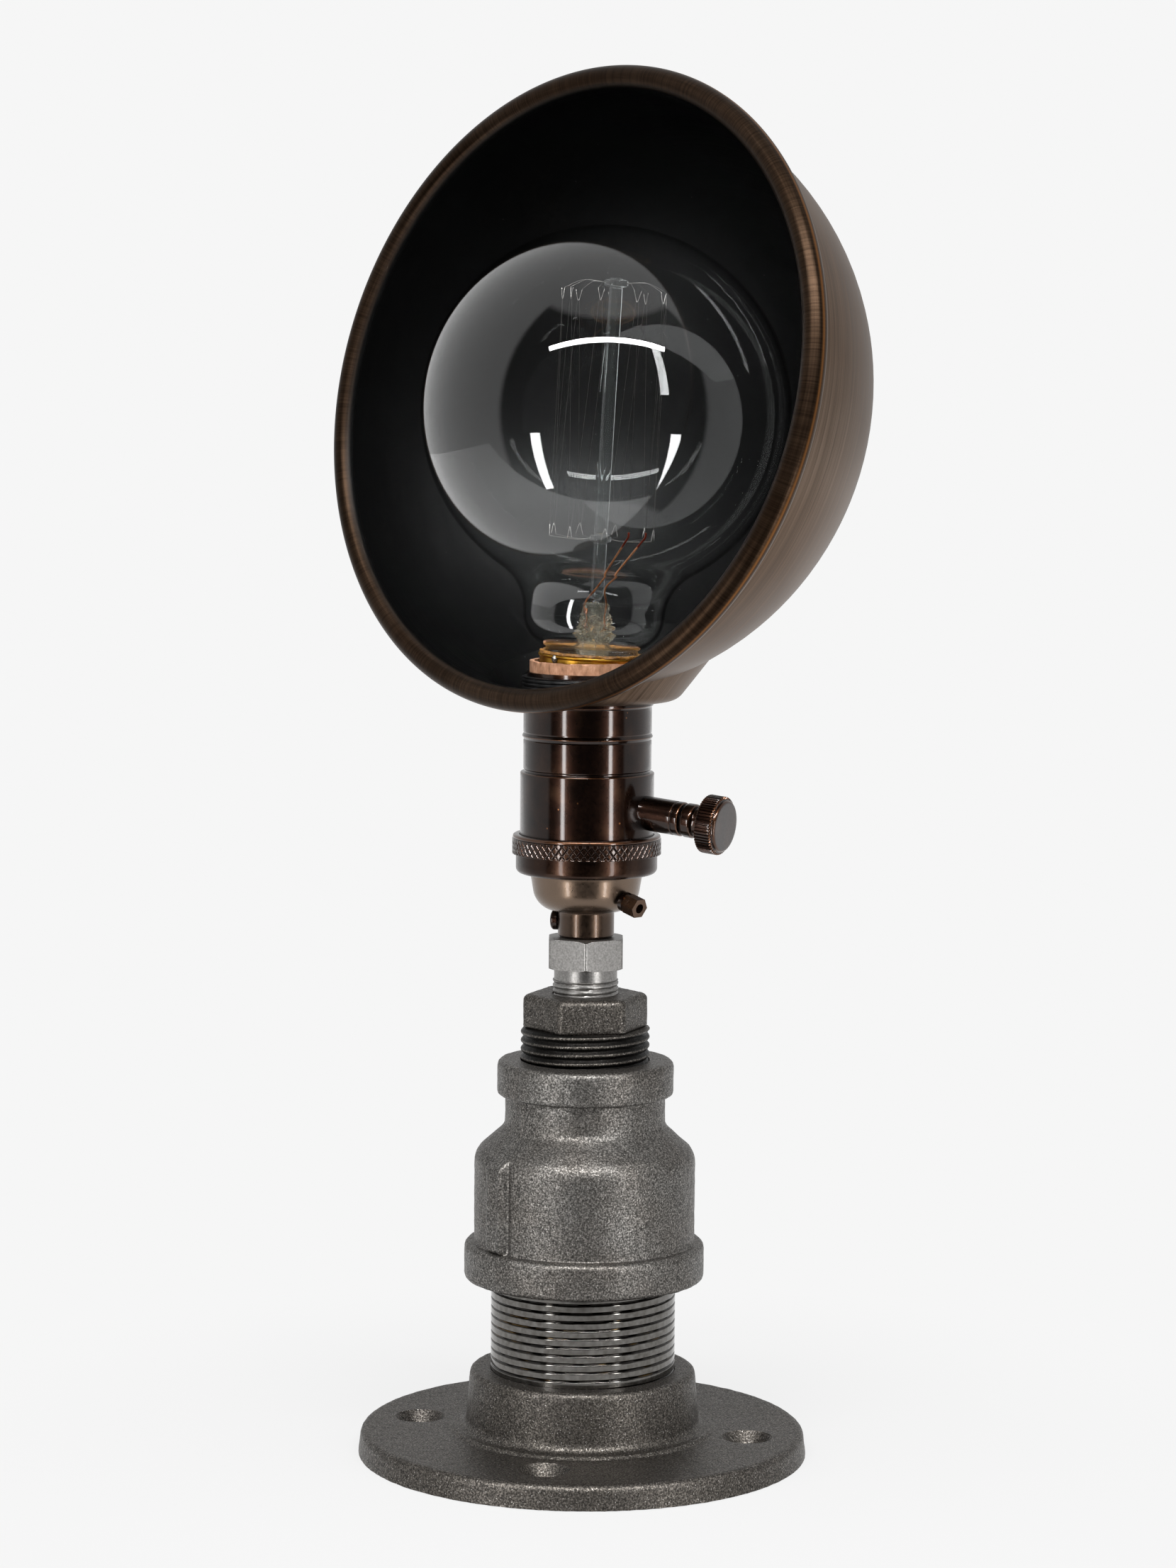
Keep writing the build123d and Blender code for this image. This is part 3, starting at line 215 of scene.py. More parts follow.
def spunBronze():
    # sheet spun on a lathe: bronzed and brushed outside, black lacquer inside, copper where the lip rubs
    material, tree, shader, spot = newMaterial("spunBronze", {"Metallic": 0.9, "Roughness": 0.36,
                                                              "Specular IOR Level": 0.12})
    along = addNode(tree, "ShaderNodeVectorMath", {"operation": "DOT_PRODUCT", 1: shadeAxis}, {0: spot})
    drift = addNode(tree, "ShaderNodeVectorMath", {"operation": "SCALE", "Scale": 0.02}, {0: spot})
    rings = addNode(tree, "ShaderNodeVectorMath", {"operation": "ADD"},
                    {0: drift.outputs["Vector"], 1: along.outputs["Value"]})
    lines = addNode(tree, "ShaderNodeTexNoise", {"Scale": grain(1.0), "Detail": 5, "Roughness": 0.7},
                    {"Vector": rings.outputs["Vector"]})
    cloud = addNode(tree, "ShaderNodeTexNoise", {"Scale": grain(30), "Detail": 2}, {"Vector": spot})
    outside = addNode(tree, "ShaderNodeValToRGB",
                      {"stops": [(0.3, "#57493d"), (0.5, "#6d5c4e"), (0.7, "#857264")]},
                      {"Fac": lines.outputs["Fac"]}).outputs["Color"]
    tone = addNode(tree, "ShaderNodeValToRGB", {"stops": [(0.3, "#dcd2c8"), (0.7, "#ffffff")]},
                   {"Fac": cloud.outputs["Fac"]}).outputs["Color"]
    bronze = addNode(tree, "ShaderNodeMix", {"data_type": "RGBA", "blend_type": "MULTIPLY", 0: 1.0},
                     {6: outside, 7: tone})
    # the lip was brushed across: marks that change only round the rim
    fromMiddle = addNode(tree, "ShaderNodeVectorMath", {"operation": "SUBTRACT", 1: shadeCentre * mm},
                         {0: spot})
    onAxis = addNode(tree, "ShaderNodeVectorMath", {"operation": "PROJECT", 1: shadeAxis},
                     {0: fromMiddle.outputs["Vector"]})
    across = addNode(tree, "ShaderNodeVectorMath", {"operation": "SUBTRACT"},
                     {0: fromMiddle.outputs["Vector"], 1: onAxis.outputs["Vector"]})
    outward = addNode(tree, "ShaderNodeVectorMath", {"operation": "NORMALIZE"}, {0: across.outputs["Vector"]})
    marks = addNode(tree, "ShaderNodeTexNoise", {"Scale": 80 / 0.4, "Detail": 3},
                    {"Vector": outward.outputs["Vector"]})
    onLip = addNode(tree, "ShaderNodeAttribute", {"attribute_name": "lip"})
    scratch = addNode(tree, "ShaderNodeValToRGB", {"stops": [(0.35, "#6b645d"), (0.65, "#8f877f")]},
                      {"Fac": marks.outputs["Fac"]}).outputs["Color"]
    brushed = addNode(tree, "ShaderNodeMix", {"data_type": "RGBA", "blend_type": "MULTIPLY"},
                      {0: onLip.outputs["Fac"], 6: bronze.outputs[2], 7: scratch})
    rubbed = addNode(tree, "ShaderNodeAttribute", {"attribute_name": "rubbed"})
    edge = addNode(tree, "ShaderNodeMix", {"data_type": "RGBA", 7: linear("#80552f")},
                   {0: rubbed.outputs["Fac"], 6: brushed.outputs[2]})
    dust = addNode(tree, "ShaderNodeTexVoronoi", {"Scale": grain(7)}, {"Vector": spot})
    dots = addNode(tree, "ShaderNodeValToRGB", {"stops": [(0.018, "#3a3a3c"), (0.03, "#030303")]},
                   {"Fac": dust.outputs["Distance"]}).outputs["Color"]
    inner = addNode(tree, "ShaderNodeAttribute", {"attribute_name": "lacquer"})
    mixed = addNode(tree, "ShaderNodeMix", {"data_type": "RGBA"},
                    {0: inner.outputs["Fac"], 6: edge.outputs[2], 7: dots})
    tree.links.new(mixed.outputs[2], shader.inputs["Base Color"])
    metal = addNode(tree, "ShaderNodeMapRange", {"To Min": 0.9, "To Max": 0.0},
                    {"Value": inner.outputs["Fac"]})
    tree.links.new(metal.outputs["Result"], shader.inputs["Metallic"])
    rough = addNode(tree, "ShaderNodeMapRange",
                    {"From Min": 0.3, "From Max": 0.7, "To Min": 0.32, "To Max": 0.46},
                    {"Value": lines.outputs["Fac"]})
    tree.links.new(rough.outputs["Result"], shader.inputs["Roughness"])
    bump = addNode(tree, "ShaderNodeBump", {"Strength": 0.25, "Distance": 0.05 * mm},
                   {"Height": lines.outputs["Fac"]})
    tree.links.new(bump.outputs["Normal"], shader.inputs["Normal"])
    return material


def blackEnamel():
    # stove enamel on the ring: satin black with greyed crests where it was screwed down
    material, tree, shader, spot = newMaterial("blackEnamel", {"Roughness": 0.34})
    rub = addNode(tree, "ShaderNodeTexNoise", {"Scale": grain(2.0), "Detail": 4}, {"Vector": spot})
    colour = addNode(tree, "ShaderNodeValToRGB", {"stops": [(0.4, "#0c0c0d"), (0.75, "#1f1f20")]},
                     {"Fac": rub.outputs["Fac"]}).outputs["Color"]
    tree.links.new(colour, shader.inputs["Base Color"])
    return material


def fibreBoard():
    # pressed paper board: matt tan-pink with short fibres
    material, tree, shader, spot = newMaterial("fibreBoard", {"Roughness": 0.85})
    tall = addNode(tree, "ShaderNodeMapping", {"Scale": (1, 1, 0.5)}, {"Vector": spot})
    fibre = addNode(tree, "ShaderNodeTexNoise", {"Scale": grain(1.8), "Detail": 6, "Roughness": 0.65},
                    {"Vector": tall.outputs["Vector"]})
    colour = addNode(tree, "ShaderNodeValToRGB",
                     {"stops": [(0.3, "#6c4c37"), (0.5, "#9c7155"), (0.72, "#bd9277")]},
                     {"Fac": fibre.outputs["Fac"]}).outputs["Color"]
    tree.links.new(colour, shader.inputs["Base Color"])
    bump = addNode(tree, "ShaderNodeBump", {"Strength": 0.5, "Distance": 0.12 * mm},
                   {"Height": fibre.outputs["Fac"]})
    tree.links.new(bump.outputs["Normal"], shader.inputs["Normal"])
    return material


def rolledBrass():
    # thin brass sheet, bright from the press: gold with soft brown tarnish
    material, tree, shader, spot = newMaterial("rolledBrass", {"Metallic": 1.0, "Roughness": 0.36})
    cloud = addNode(tree, "ShaderNodeTexNoise", {"Scale": grain(3), "Detail": 4}, {"Vector": spot})
    colour = addNode(tree, "ShaderNodeValToRGB",
                     {"stops": [(0.3, "#96681f"), (0.6, "#c4973a"), (0.8, "#d8b45e")]},
                     {"Fac": cloud.outputs["Fac"]}).outputs["Color"]
    tree.links.new(colour, shader.inputs["Base Color"])
    return material


def basingCement():
    # resin cement squeezed out when the cap was baked on: ragged amber crumbs
    material, tree, shader, spot = newMaterial("basingCement", {"Roughness": 0.5})
    crumb = addNode(tree, "ShaderNodeTexNoise", {"Scale": grain(1.0), "Detail": 4}, {"Vector": spot})
    colour = addNode(tree, "ShaderNodeValToRGB",
                     {"stops": [(0.3, "#3d240d"), (0.55, "#704a19"), (0.8, "#a07838")]},
                     {"Fac": crumb.outputs["Fac"]}).outputs["Color"]
    tree.links.new(colour, shader.inputs["Base Color"])
    bump = addNode(tree, "ShaderNodeBump", {"Strength": 0.7, "Distance": 0.2 * mm},
                   {"Height": crumb.outputs["Fac"]})
    tree.links.new(bump.outputs["Normal"], shader.inputs["Normal"])
    return material


def dullSolder():
    # lead-free solder, set without polishing: grey with a frosty skin
    material, tree, shader, spot = newMaterial("dullSolder", {"Metallic": 1.0, "Roughness": 0.4})
    frost = addNode(tree, "ShaderNodeTexNoise", {"Scale": grain(0.6), "Detail": 3}, {"Vector": spot})
    colour = addNode(tree, "ShaderNodeValToRGB", {"stops": [(0.3, "#4a4743"), (0.7, "#8d8984")]},
                     {"Fac": frost.outputs["Fac"]}).outputs["Color"]
    tree.links.new(colour, shader.inputs["Base Color"])
    return material


def phenolic():
    # moulded phenolic: black-brown with a faint flow of filler
    material, tree, shader, spot = newMaterial("phenolic", {"Roughness": 0.32})
    flow = addNode(tree, "ShaderNodeTexNoise", {"Scale": grain(4), "Detail": 5}, {"Vector": spot})
    colour = addNode(tree, "ShaderNodeValToRGB", {"stops": [(0.3, "#120f0d"), (0.7, "#2a211b")]},
                     {"Fac": flow.outputs["Fac"]}).outputs["Color"]
    tree.links.new(colour, shader.inputs["Base Color"])
    return material


def drawnWire(name, dark, light, roughness):
    # fine drawn wire: plain metal with a slightly uneven skin
    material, tree, shader, spot = newMaterial(name, {"Metallic": 1.0, "Roughness": roughness})
    skin = addNode(tree, "ShaderNodeTexNoise", {"Scale": grain(1.5), "Detail": 3}, {"Vector": spot})
    colour = addNode(tree, "ShaderNodeValToRGB", {"stops": [(0.3, dark), (0.7, light)]},
                     {"Fac": skin.outputs["Fac"]}).outputs["Color"]
    tree.links.new(colour, shader.inputs["Base Color"])
    return material


def blownGlass(name, tint, waviness, clearness=1.0):
    # soda-lime glass: clear, mirror-smooth outside, lets the lamps through to what is inside
    material, tree, shader, spot = newMaterial(
        name, {"Base Color": linear(tint), "Roughness": 0.0, "IOR": 1.5, "Transmission Weight": clearness}
    )
    wave = addNode(tree, "ShaderNodeTexNoise", {"Scale": grain(14), "Detail": 1}, {"Vector": spot})
    bump = addNode(tree, "ShaderNodeBump", {"Strength": waviness, "Distance": 0.3 * mm},
                   {"Height": wave.outputs["Fac"]})
    tree.links.new(bump.outputs["Normal"], shader.inputs["Normal"])
    clear = addNode(tree, "ShaderNodeBsdfTransparent", {"Color": linear(tint)})
    path = addNode(tree, "ShaderNodeLightPath")
    both = addNode(tree, "ShaderNodeMixShader",
                   links={0: path.outputs["Is Shadow Ray"], 1: shader.outputs[0], 2: clear.outputs[0]})
    tree.links.new(both.outputs[0], tree.nodes["Material Output"].inputs["Surface"])
    return material


finish = {
    "castIron": sandCastIron("sandCastIron", "#eeeae7", "#ffffff"),
    # a darker copy of the same iron: painted shade on the flange and the bushing
    "shadedIron": sandCastIron("shadedCastIron", "#cfcac6", "#c9c4be"),
    "steel": turnedSteel(),
    "zinc": zincPlate(),
    "bronze": bronzedBrass("bronzedBrass", 0.75, ("#1a100c", "#2b1b14", "#412e22"), "#94623f"),
    "satinBronze": bronzedBrass("satinBronzedBrass", 0.25, ("#1f1410", "#33231b", "#4b392e"), "#94806e"),
    "wornBronze": bronzedBrass("handledBrass", 0.5, ("#3a291d", "#5a4230", "#745844"), "#94623f"),
    "shade": spunBronze(),
    "ring": blackEnamel(),
    "fibre": fibreBoard(),
    "brass": rolledBrass(),
    "cement": basingCement(),
    "solder": dullSolder(),
    "phenolic": phenolic(),
    "globe": blownGlass("blownGlass", "#fdfefe", 0.02),
    "rod": blownGlass("drawnGlass", "#f4f8f8", 0.02, 0.996),
    "stem": blownGlass("leadGlass", "#faf6e6", 0.3, 0.985),
    "support": drawnWire("molybdenumWire", "#8d8b88", "#d3d1cd", 0.25),
    "filament": drawnWire("tungstenWire", "#3e3c3a", "#625f5c", 0.4),
    "copper": drawnWire("copperWire", "#6e3a24", "#b07550", 0.28),
    "clamp": drawnWire("fluxedCopper", "#3a120c", "#6e2a1c", 0.4),
}
print("materials made:", len(finish))


# mesh helpers

def sweepCorners(corners, step):
    # outline from (radius, height, rounding) corners, with arcs at the rounded ones
    points = []
    count = len(corners)
    for index, (x, y, rounding) in enumerate(corners):
        here = Vector((x, y))
        if rounding <= 0 or index in (0, count - 1):
            points.append(here)
            continue
        before = (Vector(corners[index - 1][:2]) - here).normalized()
        after = (Vector(corners[index + 1][:2]) - here).normalized()
        half = math.acos(max(-1, min(1, before.dot(after)))) / 2
        reach = rounding / math.tan(half)
        centre = here + (before + after).normalized() * rounding / math.sin(half)
        start = here + before * reach - centre
        sweep = math.pi - 2 * half
        turn = 1 if before.x * after.y - before.y * after.x < 0 else -1
        pieces = max(3, round(rounding * sweep / step))
        for k in range(pieces + 1):
            angle = turn * sweep * k / pieces
            points.append(centre + Vector((start.x * math.cos(angle) - start.y * math.sin(angle),
                                           start.x * math.sin(angle) + start.y * math.cos(angle))))
    return points


def fillIn(points, step):
    # adds points so that no stretch is longer than the step
    dense = [points[0]]
    for start, end in zip(points, points[1:]):
        pieces = max(1, math.ceil((end - start).length / step))
        dense += [start.lerp(end, k / pieces) for k in range(1, pieces + 1)]
    return dense


def storeValues(mesh, values):
    # numbers at the vertices that materials read, such as thread depth or rubbing
    for label, numbers in values.items():
        layer = mesh.attributes.new(label, "FLOAT", "POINT")
        layer.data.foreach_set("value", np.asarray(numbers, np.float32))


def closeSeams(mesh, gap):
    work = bmesh.new()
    work.from_mesh(mesh)
    bmesh.ops.remove_doubles(work, verts=work.verts, dist=gap)
    bmesh.ops.recalc_face_normals(work, faces=work.faces)
    work.to_mesh(mesh)
    work.free()


def addPiece(name, vertices, faces, place, material, body, nodeNames=(), sharp=35, values=None):
    mesh = bpy.data.meshes.new(name)
    mesh.from_pydata([tuple(v) for v in vertices], [], faces)
    storeValues(mesh, values or {})
    closeSeams(mesh, 1e-4)
    mesh.transform(place)
    piece = bpy.data.objects.new(name, mesh)
    bpy.context.scene.collection.objects.link(piece)
    finishPiece(piece, material, body, nodeNames, sharp)
    return piece


def finishPiece(piece, material, body, nodeNames, sharp):
    piece.data.materials.clear()
    piece.data.materials.append(finish[material])
    piece.data.shade_smooth()
    if sharp:
        piece.data.set_sharp_from_angle(angle=math.radians(sharp))
    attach(piece, body)
    if nodeNames:
        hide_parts(*nodeNames)


def turnedGrid(profile, segments, shape=None, loop=True):
    # vertices and faces of a profile carried round an axis; shape may change each ring
    angles = np.linspace(0, 2 * math.pi, segments, endpoint=False)
    rings = []
    for radius, height in profile:
        radii = np.full(segments, float(radius))
        heights = np.full(segments, float(height))
        if shape:
            radii, heights = shape(angles, radii, heights)
        rings.append(np.stack([radii * np.cos(angles), radii * np.sin(angles), heights], axis=1))
    count = len(rings)
    faces = []
    for j in range(count if loop else count - 1):
        low = j * segments
        high = (j + 1) % count * segments
        for i in range(segments):
            k = (i + 1) % segments
            faces.append((low + i, low + k, high + k, high + i))
    return np.concatenate(rings), faces


def roughen(piece, sizeMm, heightMm):
    # moves the skin in and out along its normals, as sand leaves it
    normals = [v.normal.copy() for v in piece.data.vertices]
    for vertex, normal in zip(piece.data.vertices, normals):
        lump = noise.noise(vertex.co / (sizeMm * mm)) + 0.5 * noise.noise(vertex.co / (0.45 * sizeMm * mm))
        vertex.co += normal * lump * heightMm * mm


def threadCut(crest, depth, pitch, start, end, land=0.0):
    # cuts a right-hand thread into the rings whose radius is the crest; land is the flat share of each turn
    def shape(angles, radii, heights):
        if abs(radii[0] - crest) > 1e-6:
            return radii, heights
        phase = heights / pitch - angles / (2 * math.pi)
        away = np.abs(np.mod(phase + 0.5, 1) - 0.5)
        groove = np.clip(1 - 2 * away / (1 - land), 0, 1) if land else 0.5 + 0.5 * np.cos(2 * math.pi * phase)
        fade = np.clip(np.minimum(heights - start, end - heights) / 0.4, 0, 1)
        return radii - depth * groove * fade, heights
    return shape


def hexRadius(angles, flat, rounding, cornerAngle):
    # radius of a hexagon with rounded corners, by direction
    apothem = flat / 2
    step = math.pi / 3
    fromCorner = np.mod(angles - math.radians(cornerAngle) + step / 2, step) - step / 2
    side = apothem / np.cos(np.abs(fromCorner) - step / 2)
    centre = (apothem - rounding) / math.cos(step / 2)
    tangent = math.atan2((apothem - rounding) * math.tan(step / 2), apothem)
    reach = np.maximum(rounding**2 - (centre * np.sin(fromCorner)) ** 2, 0)
    arc = centre * np.cos(fromCorner) + np.sqrt(reach)
    return np.where(np.abs(fromCorner) < step / 2 - tangent, arc, side)


def profileOf(corners, step, coarse=None):
    return fillIn(sweepCorners(corners, step), coarse or step)


def rubbedEdges(profile, segments, most=0.8):
    # share of rubbed-through finish on each ring: high where the outline turns outward tightly
    shares = [0.0]
    for before, here, after in zip(profile, profile[1:], profile[2:]):
        into, out = here - before, after - here
        turn = math.atan2(into.x * out.y - into.y * out.x, into.dot(out))
        bend = turn / max(0.02, (into.length + out.length) / 2)
        shares.append(most * min(1.0, max(0.0, (bend - 0.9) / 2.0)))
    return np.repeat([*shares, 0.0], segments)


def wireTube(points, radius, sides=6):
    # vertices and faces of a round wire along points
    path = [Vector(p) for p in points]
    heading = (path[1] - path[0]).normalized()
    sideways = heading.orthogonal().normalized()
    vertices, faces = [], []
    for index, point in enumerate(path):
        ahead = path[min(index + 1, len(path) - 1)] - path[max(index - 1, 0)]
        heading = ahead.normalized()
        sideways = (sideways - heading * sideways.dot(heading)).normalized()
        other = heading.cross(sideways)
        for k in range(sides):
            turn = 2 * math.pi * k / sides
            vertices.append(point + (sideways * math.cos(turn) + other * math.sin(turn)) * radius)
    for index in range(len(path) - 1):
        for k in range(sides):
            a, b = index * sides + k, index * sides + (k + 1) % sides
            faces.append((a, b, b + sides, a + sides))
    faces.append(tuple(reversed(range(sides))))
    faces.append(tuple(range(len(vertices) - sides, len(vertices))))
    return vertices, faces


def joined(parts):
    # one list of vertices and faces from several
    vertices, faces = [], []
    for more, polygons in parts:
        start = len(vertices)
        vertices += list(more)
        faces += [tuple(start + i for i in polygon) for polygon in polygons]
    return vertices, faces


# floor flange
flange = {"radius": 58.4, "plate": 6.2, "hub": 29.3, "hubTop": 22.1, "bore": 24.1, "foot": 33.6, "step": 0.8,
          "lump": 2.2, "lumpHeight": 0.08, "bolts": 87.6, "boltTurn": 31, "hole": 3.3, "sink": 6.6}


def makeFlange():
    corners = [(flange["bore"], 0, 0), (flange["radius"], 0, 0),
               (flange["radius"] - 0.7, flange["plate"], 1.6), (flange["foot"] + 0.9, flange["plate"], 0.8),
               (flange["foot"], flange["plate"] + 0.9, 0.6),
               (flange["hub"] + 1.2, flange["plate"] + 0.9, 2.0),
               (flange["hub"], flange["hubTop"], 1.4), (flange["bore"], flange["hubTop"], 0)]
    vertices, faces = turnedGrid(profileOf(corners, flange["step"]), 360)
    piece = addPiece("floorFlange", vertices, faces, standPlace, "shadedIron", "stand",
                     ["floor_flange"])
    sinkDepth = (flange["sink"] - flange["hole"]) / math.tan(math.radians(41))
    cone = [(0, -1), (flange["hole"], -1), (flange["hole"], flange["plate"] - sinkDepth),
            (flange["sink"], flange["plate"]), (flange["sink"] + 0.5, flange["plate"] + 0.6),
            (0, flange["plate"] + 0.6)]
    for k in range(4):
        turn = math.radians(flange["boltTurn"] + 90 * k)
        middle = Vector((math.cos(turn), math.sin(turn), 0)) * flange["bolts"] / 2
        vertices, faces = turnedGrid(fillIn([Vector(p) for p in cone], 0.9), 48, loop=False)
        mesh = bpy.data.meshes.new("sink")
        mesh.from_pydata([tuple((Vector(v) + middle) * mm) for v in vertices], [], faces)
        closeSeams(mesh, 1e-7)
        cutter = bpy.data.objects.new("sink", mesh)
        bpy.context.scene.collection.objects.link(cutter)
        cut = piece.modifiers.new("hole", "BOOLEAN")
        cut.object = cutter
        cut.operation = "DIFFERENCE"
        cut.solver = "EXACT"
        bpy.context.view_layer.update()
        drilled = bpy.data.meshes.new_from_object(piece.evaluated_get(bpy.context.evaluated_depsgraph_get()))
        piece.modifiers.clear()
        piece.data = drilled
        bpy.data.objects.remove(cutter)
    drilled.shade_smooth()
    drilled.set_sharp_from_angle(angle=math.radians(40))
    roughen(piece, flange["lump"], flange["lumpHeight"])


makeFlange()
print("flange made")


# close nipple
nipple = {"crest": 24.0, "depth": 0.38, "pitch": 2.209, "bore": 20.45, "low": 9.1, "high": 59.3,
          "shown": (20.5, 48.0),
          "land": 0.68, "ring": 0.12, "segments": 288}


def makeNipple():
    low, high = nipple["shown"]
    outer = [Vector((nipple["crest"], z)) for z in np.arange(low, high, nipple["ring"])]
    profile = [Vector((nipple["bore"], nipple["low"])), Vector((nipple["crest"] - 0.8, nipple["low"])),
               Vector((nipple["crest"] - 0.01, nipple["low"] + 0.8)), *outer,
               Vector((nipple["crest"] - 0.01, nipple["high"] - 0.8)),
               Vector((nipple["crest"] - 0.8, nipple["high"])), Vector((nipple["bore"], nipple["high"]))]
    cut = threadCut(nipple["crest"], nipple["depth"], nipple["pitch"], low, high, nipple["land"])
    vertices, faces = turnedGrid(profile, nipple["segments"], cut)
    depth = (nipple["crest"] - np.hypot(vertices[:, 0], vertices[:, 1])) / nipple["depth"]
    addPiece("pipeNipple", vertices, faces, standPlace, "steel", "stand", ["pipe_nipple"], 80,
             {"threadDepth": np.clip(depth, 0, 1)})


makeNipple()


# reducing coupling
coupling = {"low": 46.3, "high": 103.5, "band": 31.0, "bandTop": 55.9, "body": 28.5, "shoulder": 79.3,
            "neck": 86.4,
            "neckRadius": 20.6, "topBand": 94.6, "topRadius": 22.7, "lowerBore": 24.1, "upperBore": 16.8,
            "chamber": 22.9, "throat": 15.05, "ribTurn": -97.6, "ribWidth": 6.2, "ribProud": 1.6,
            "groove": 0.6,
            "parting": 0.3, "ridge": 0.45, "step": 0.8, "lump": 2.4, "lumpHeight": 0.10}


def ribShape(angles, radii, heights):
    # two opposite ribs with a groove beside each, and the slight step of the mould's parting
    if radii[0] < coupling["throat"] + 3.6 or heights[0] < coupling["low"] + 0.1:
        return radii, heights
    grown = radii.copy()
    for side in (0, 180):
        middle = math.radians(coupling["ribTurn"] + side)
        away = np.mod(angles - middle + math.pi, 2 * math.pi) - math.pi
        arc = away * radii
        half = coupling["ribWidth"] / 2
        rise = np.clip((half + 0.5 - np.abs(arc)) / 1.0, 0, 1)
        rise = rise * rise * (3 - 2 * rise)
        z = heights[0]
        onBody = np.clip((z - coupling["bandTop"]) / 0.6, 0, 1)
        onBody *= np.clip((coupling["shoulder"] + 1.5 - z) / 3.5, 0, 1)
        dip = np.clip(1 - np.abs(arc - half - 1.1) / 0.9, 0, 1)
        grown += (coupling["ribProud"] * rise - coupling["groove"] * dip) * onBody * (np.abs(away) < 1.0)
        onShoulder = np.clip((z - coupling["shoulder"] + 1) / 2, 0, 1)
        onShoulder *= np.clip((coupling["topBand"] - z) / 1.5, 0, 1)
        grown += coupling["ridge"] * np.clip(1 - np.abs(arc) / 1.1, 0, 1) * onShoulder * (np.abs(away) < 1.0)
    front = np.mod(angles - math.radians(coupling["ribTurn"] + 3), 2 * math.pi)
    edge = np.clip(front / 0.03, 0, 1) * np.clip((math.pi - front) / 0.03, 0, 1)
    return grown + coupling["parting"] * edge, heights


def makeCoupling():
    c = coupling
    corners = [(c["lowerBore"], c["low"], 0), (c["band"], c["low"], 1.1), (c["band"], c["bandTop"], 1.6),
               (c["body"], c["bandTop"], 0.5), (c["body"], c["shoulder"], 5.5),
               (c["neckRadius"], c["neck"], 3.0),
               (c["neckRadius"], c["topBand"], 0.6), (c["topRadius"], c["topBand"], 0.8),
               (c["topRadius"], c["high"], 1.6), (c["upperBore"], c["high"], 0)]
    outer = profileOf(corners, c["step"])
    inner = [Vector(p) for p in ((c["upperBore"], 86.0), (c["throat"], 84.3), (c["throat"], 83.6),
                                 (c["chamber"], 73.7), (c["chamber"], 64.6), (c["lowerBore"], 62.8))]
    vertices, faces = turnedGrid([*outer, *inner], 300, ribShape)
    piece = addPiece("reducingCoupling", vertices, faces, standPlace, "castIron", "stand",
                     ["reducing_coupling"], 60)
    roughen(piece, c["lump"], c["lumpHeight"])


makeCoupling()
print("coupling made")


# hex rings carry their inset from the full hex, counted from this mark
hexMark = 100


# hex bushing
bushing = {"crest": 16.7, "depth": 0.75, "pitch": 2.209, "low": 89.5, "thread": 103.0, "hexLow": 112.0,
           "hexHigh": 120.8, "flat": 28.6, "rounding": 2.4, "bevel": 1.7, "flatAngle": -39.6,
           "hollow": 12.5, "bore": 8.6,
           "lump": 2.0, "lumpHeight": 0.07, "land": 0.14, "ring": 0.18}


def bushingShape(angles, radii, heights):
    b = bushing
    cut = threadCut(b["crest"], b["depth"], b["pitch"], b["thread"] - 1, b["hexLow"] + 0.2, b["land"])
    if radii[0] < hexMark / 2:
        return cut(angles, radii, heights)
    inset = radii[0] - hexMark
    return hexRadius(angles, b["flat"] + 2 * inset, b["rounding"], b["flatAngle"] + 30), heights


def makeBushing():
    b = bushing
    low = [Vector((b["hollow"], b["low"])), Vector((b["crest"] - 0.02, b["low"]))]
    thread = [Vector((b["crest"], z)) for z in np.arange(b["thread"], b["hexLow"], b["ring"])]
    foot = [Vector((hexMark - inset, b["hexLow"] + rise)) for inset,
            rise in ((0.6, 0), (0.1, 0.25), (0, 0.6))]
    bevel = b["bevel"]
    sides = [Vector((hexMark, z)) for z in np.arange(b["hexLow"] + 1.2, b["hexHigh"] - bevel, 0.7)]
    top = [Vector((hexMark - bevel * (1 - math.cos(t)), b["hexHigh"] - bevel * (1 - math.sin(t))))
           for t in np.linspace(0, math.pi / 2, 9)]
    face = [Vector((hexMark - bevel - k, b["hexHigh"])) for k in (0.7, 1.4, 2.1, 2.8, 3.4)]
    bore = [Vector((b["bore"], b["hexHigh"])), Vector((b["bore"], 108.0)), Vector((b["hollow"], 106.3))]
    vertices, faces = turnedGrid([*low, *thread, *foot, *sides, *top, *face, *bore], 300, bushingShape)
    inThread = (vertices[:, 2] > b["thread"]) & (vertices[:, 2] < b["hexLow"])
    depth = np.clip((b["crest"] - np.hypot(vertices[:, 0], vertices[:, 1])) / b["depth"], 0, 1) * inThread
    piece = addPiece("hexBushing", vertices, faces, standPlace, "shadedIron", "stand",
                     ["hex_bushing"], 60,
                     {"threadDepth": depth})
    roughen(piece, b["lump"], b["lumpHeight"])


makeBushing()


# hex adapter
adapter = {"crest": 8.5, "depth": 0.45, "pitch": 1.411, "low": 109.8, "collarLow": 124.5, "collar": 8.16,
           "hexLow": 127.6, "hexHigh": 135.5, "flat": 19.05, "corner": -46.6, "chamfer": 0.9, "bore": 5.05,
           "land": 0.3, "rounding": 0.6, "ring": 0.12}


def adapterShape(angles, radii, heights):
    a = adapter
    if radii[0] < hexMark / 2:
        cut = threadCut(a["crest"], a["depth"], a["pitch"], a["low"], a["collarLow"], a["land"])
        return cut(angles, radii, heights)
    cornerRadius = a["flat"] / 2 / math.cos(math.pi / 6)
    fromEnd = min(heights[0] - a["hexLow"], a["hexHigh"] - heights[0])
    limit = cornerRadius - a["chamfer"] + fromEnd / math.tan(math.radians(30))
    return np.minimum(hexRadius(angles, a["flat"], a["rounding"], a["corner"]), limit), heights


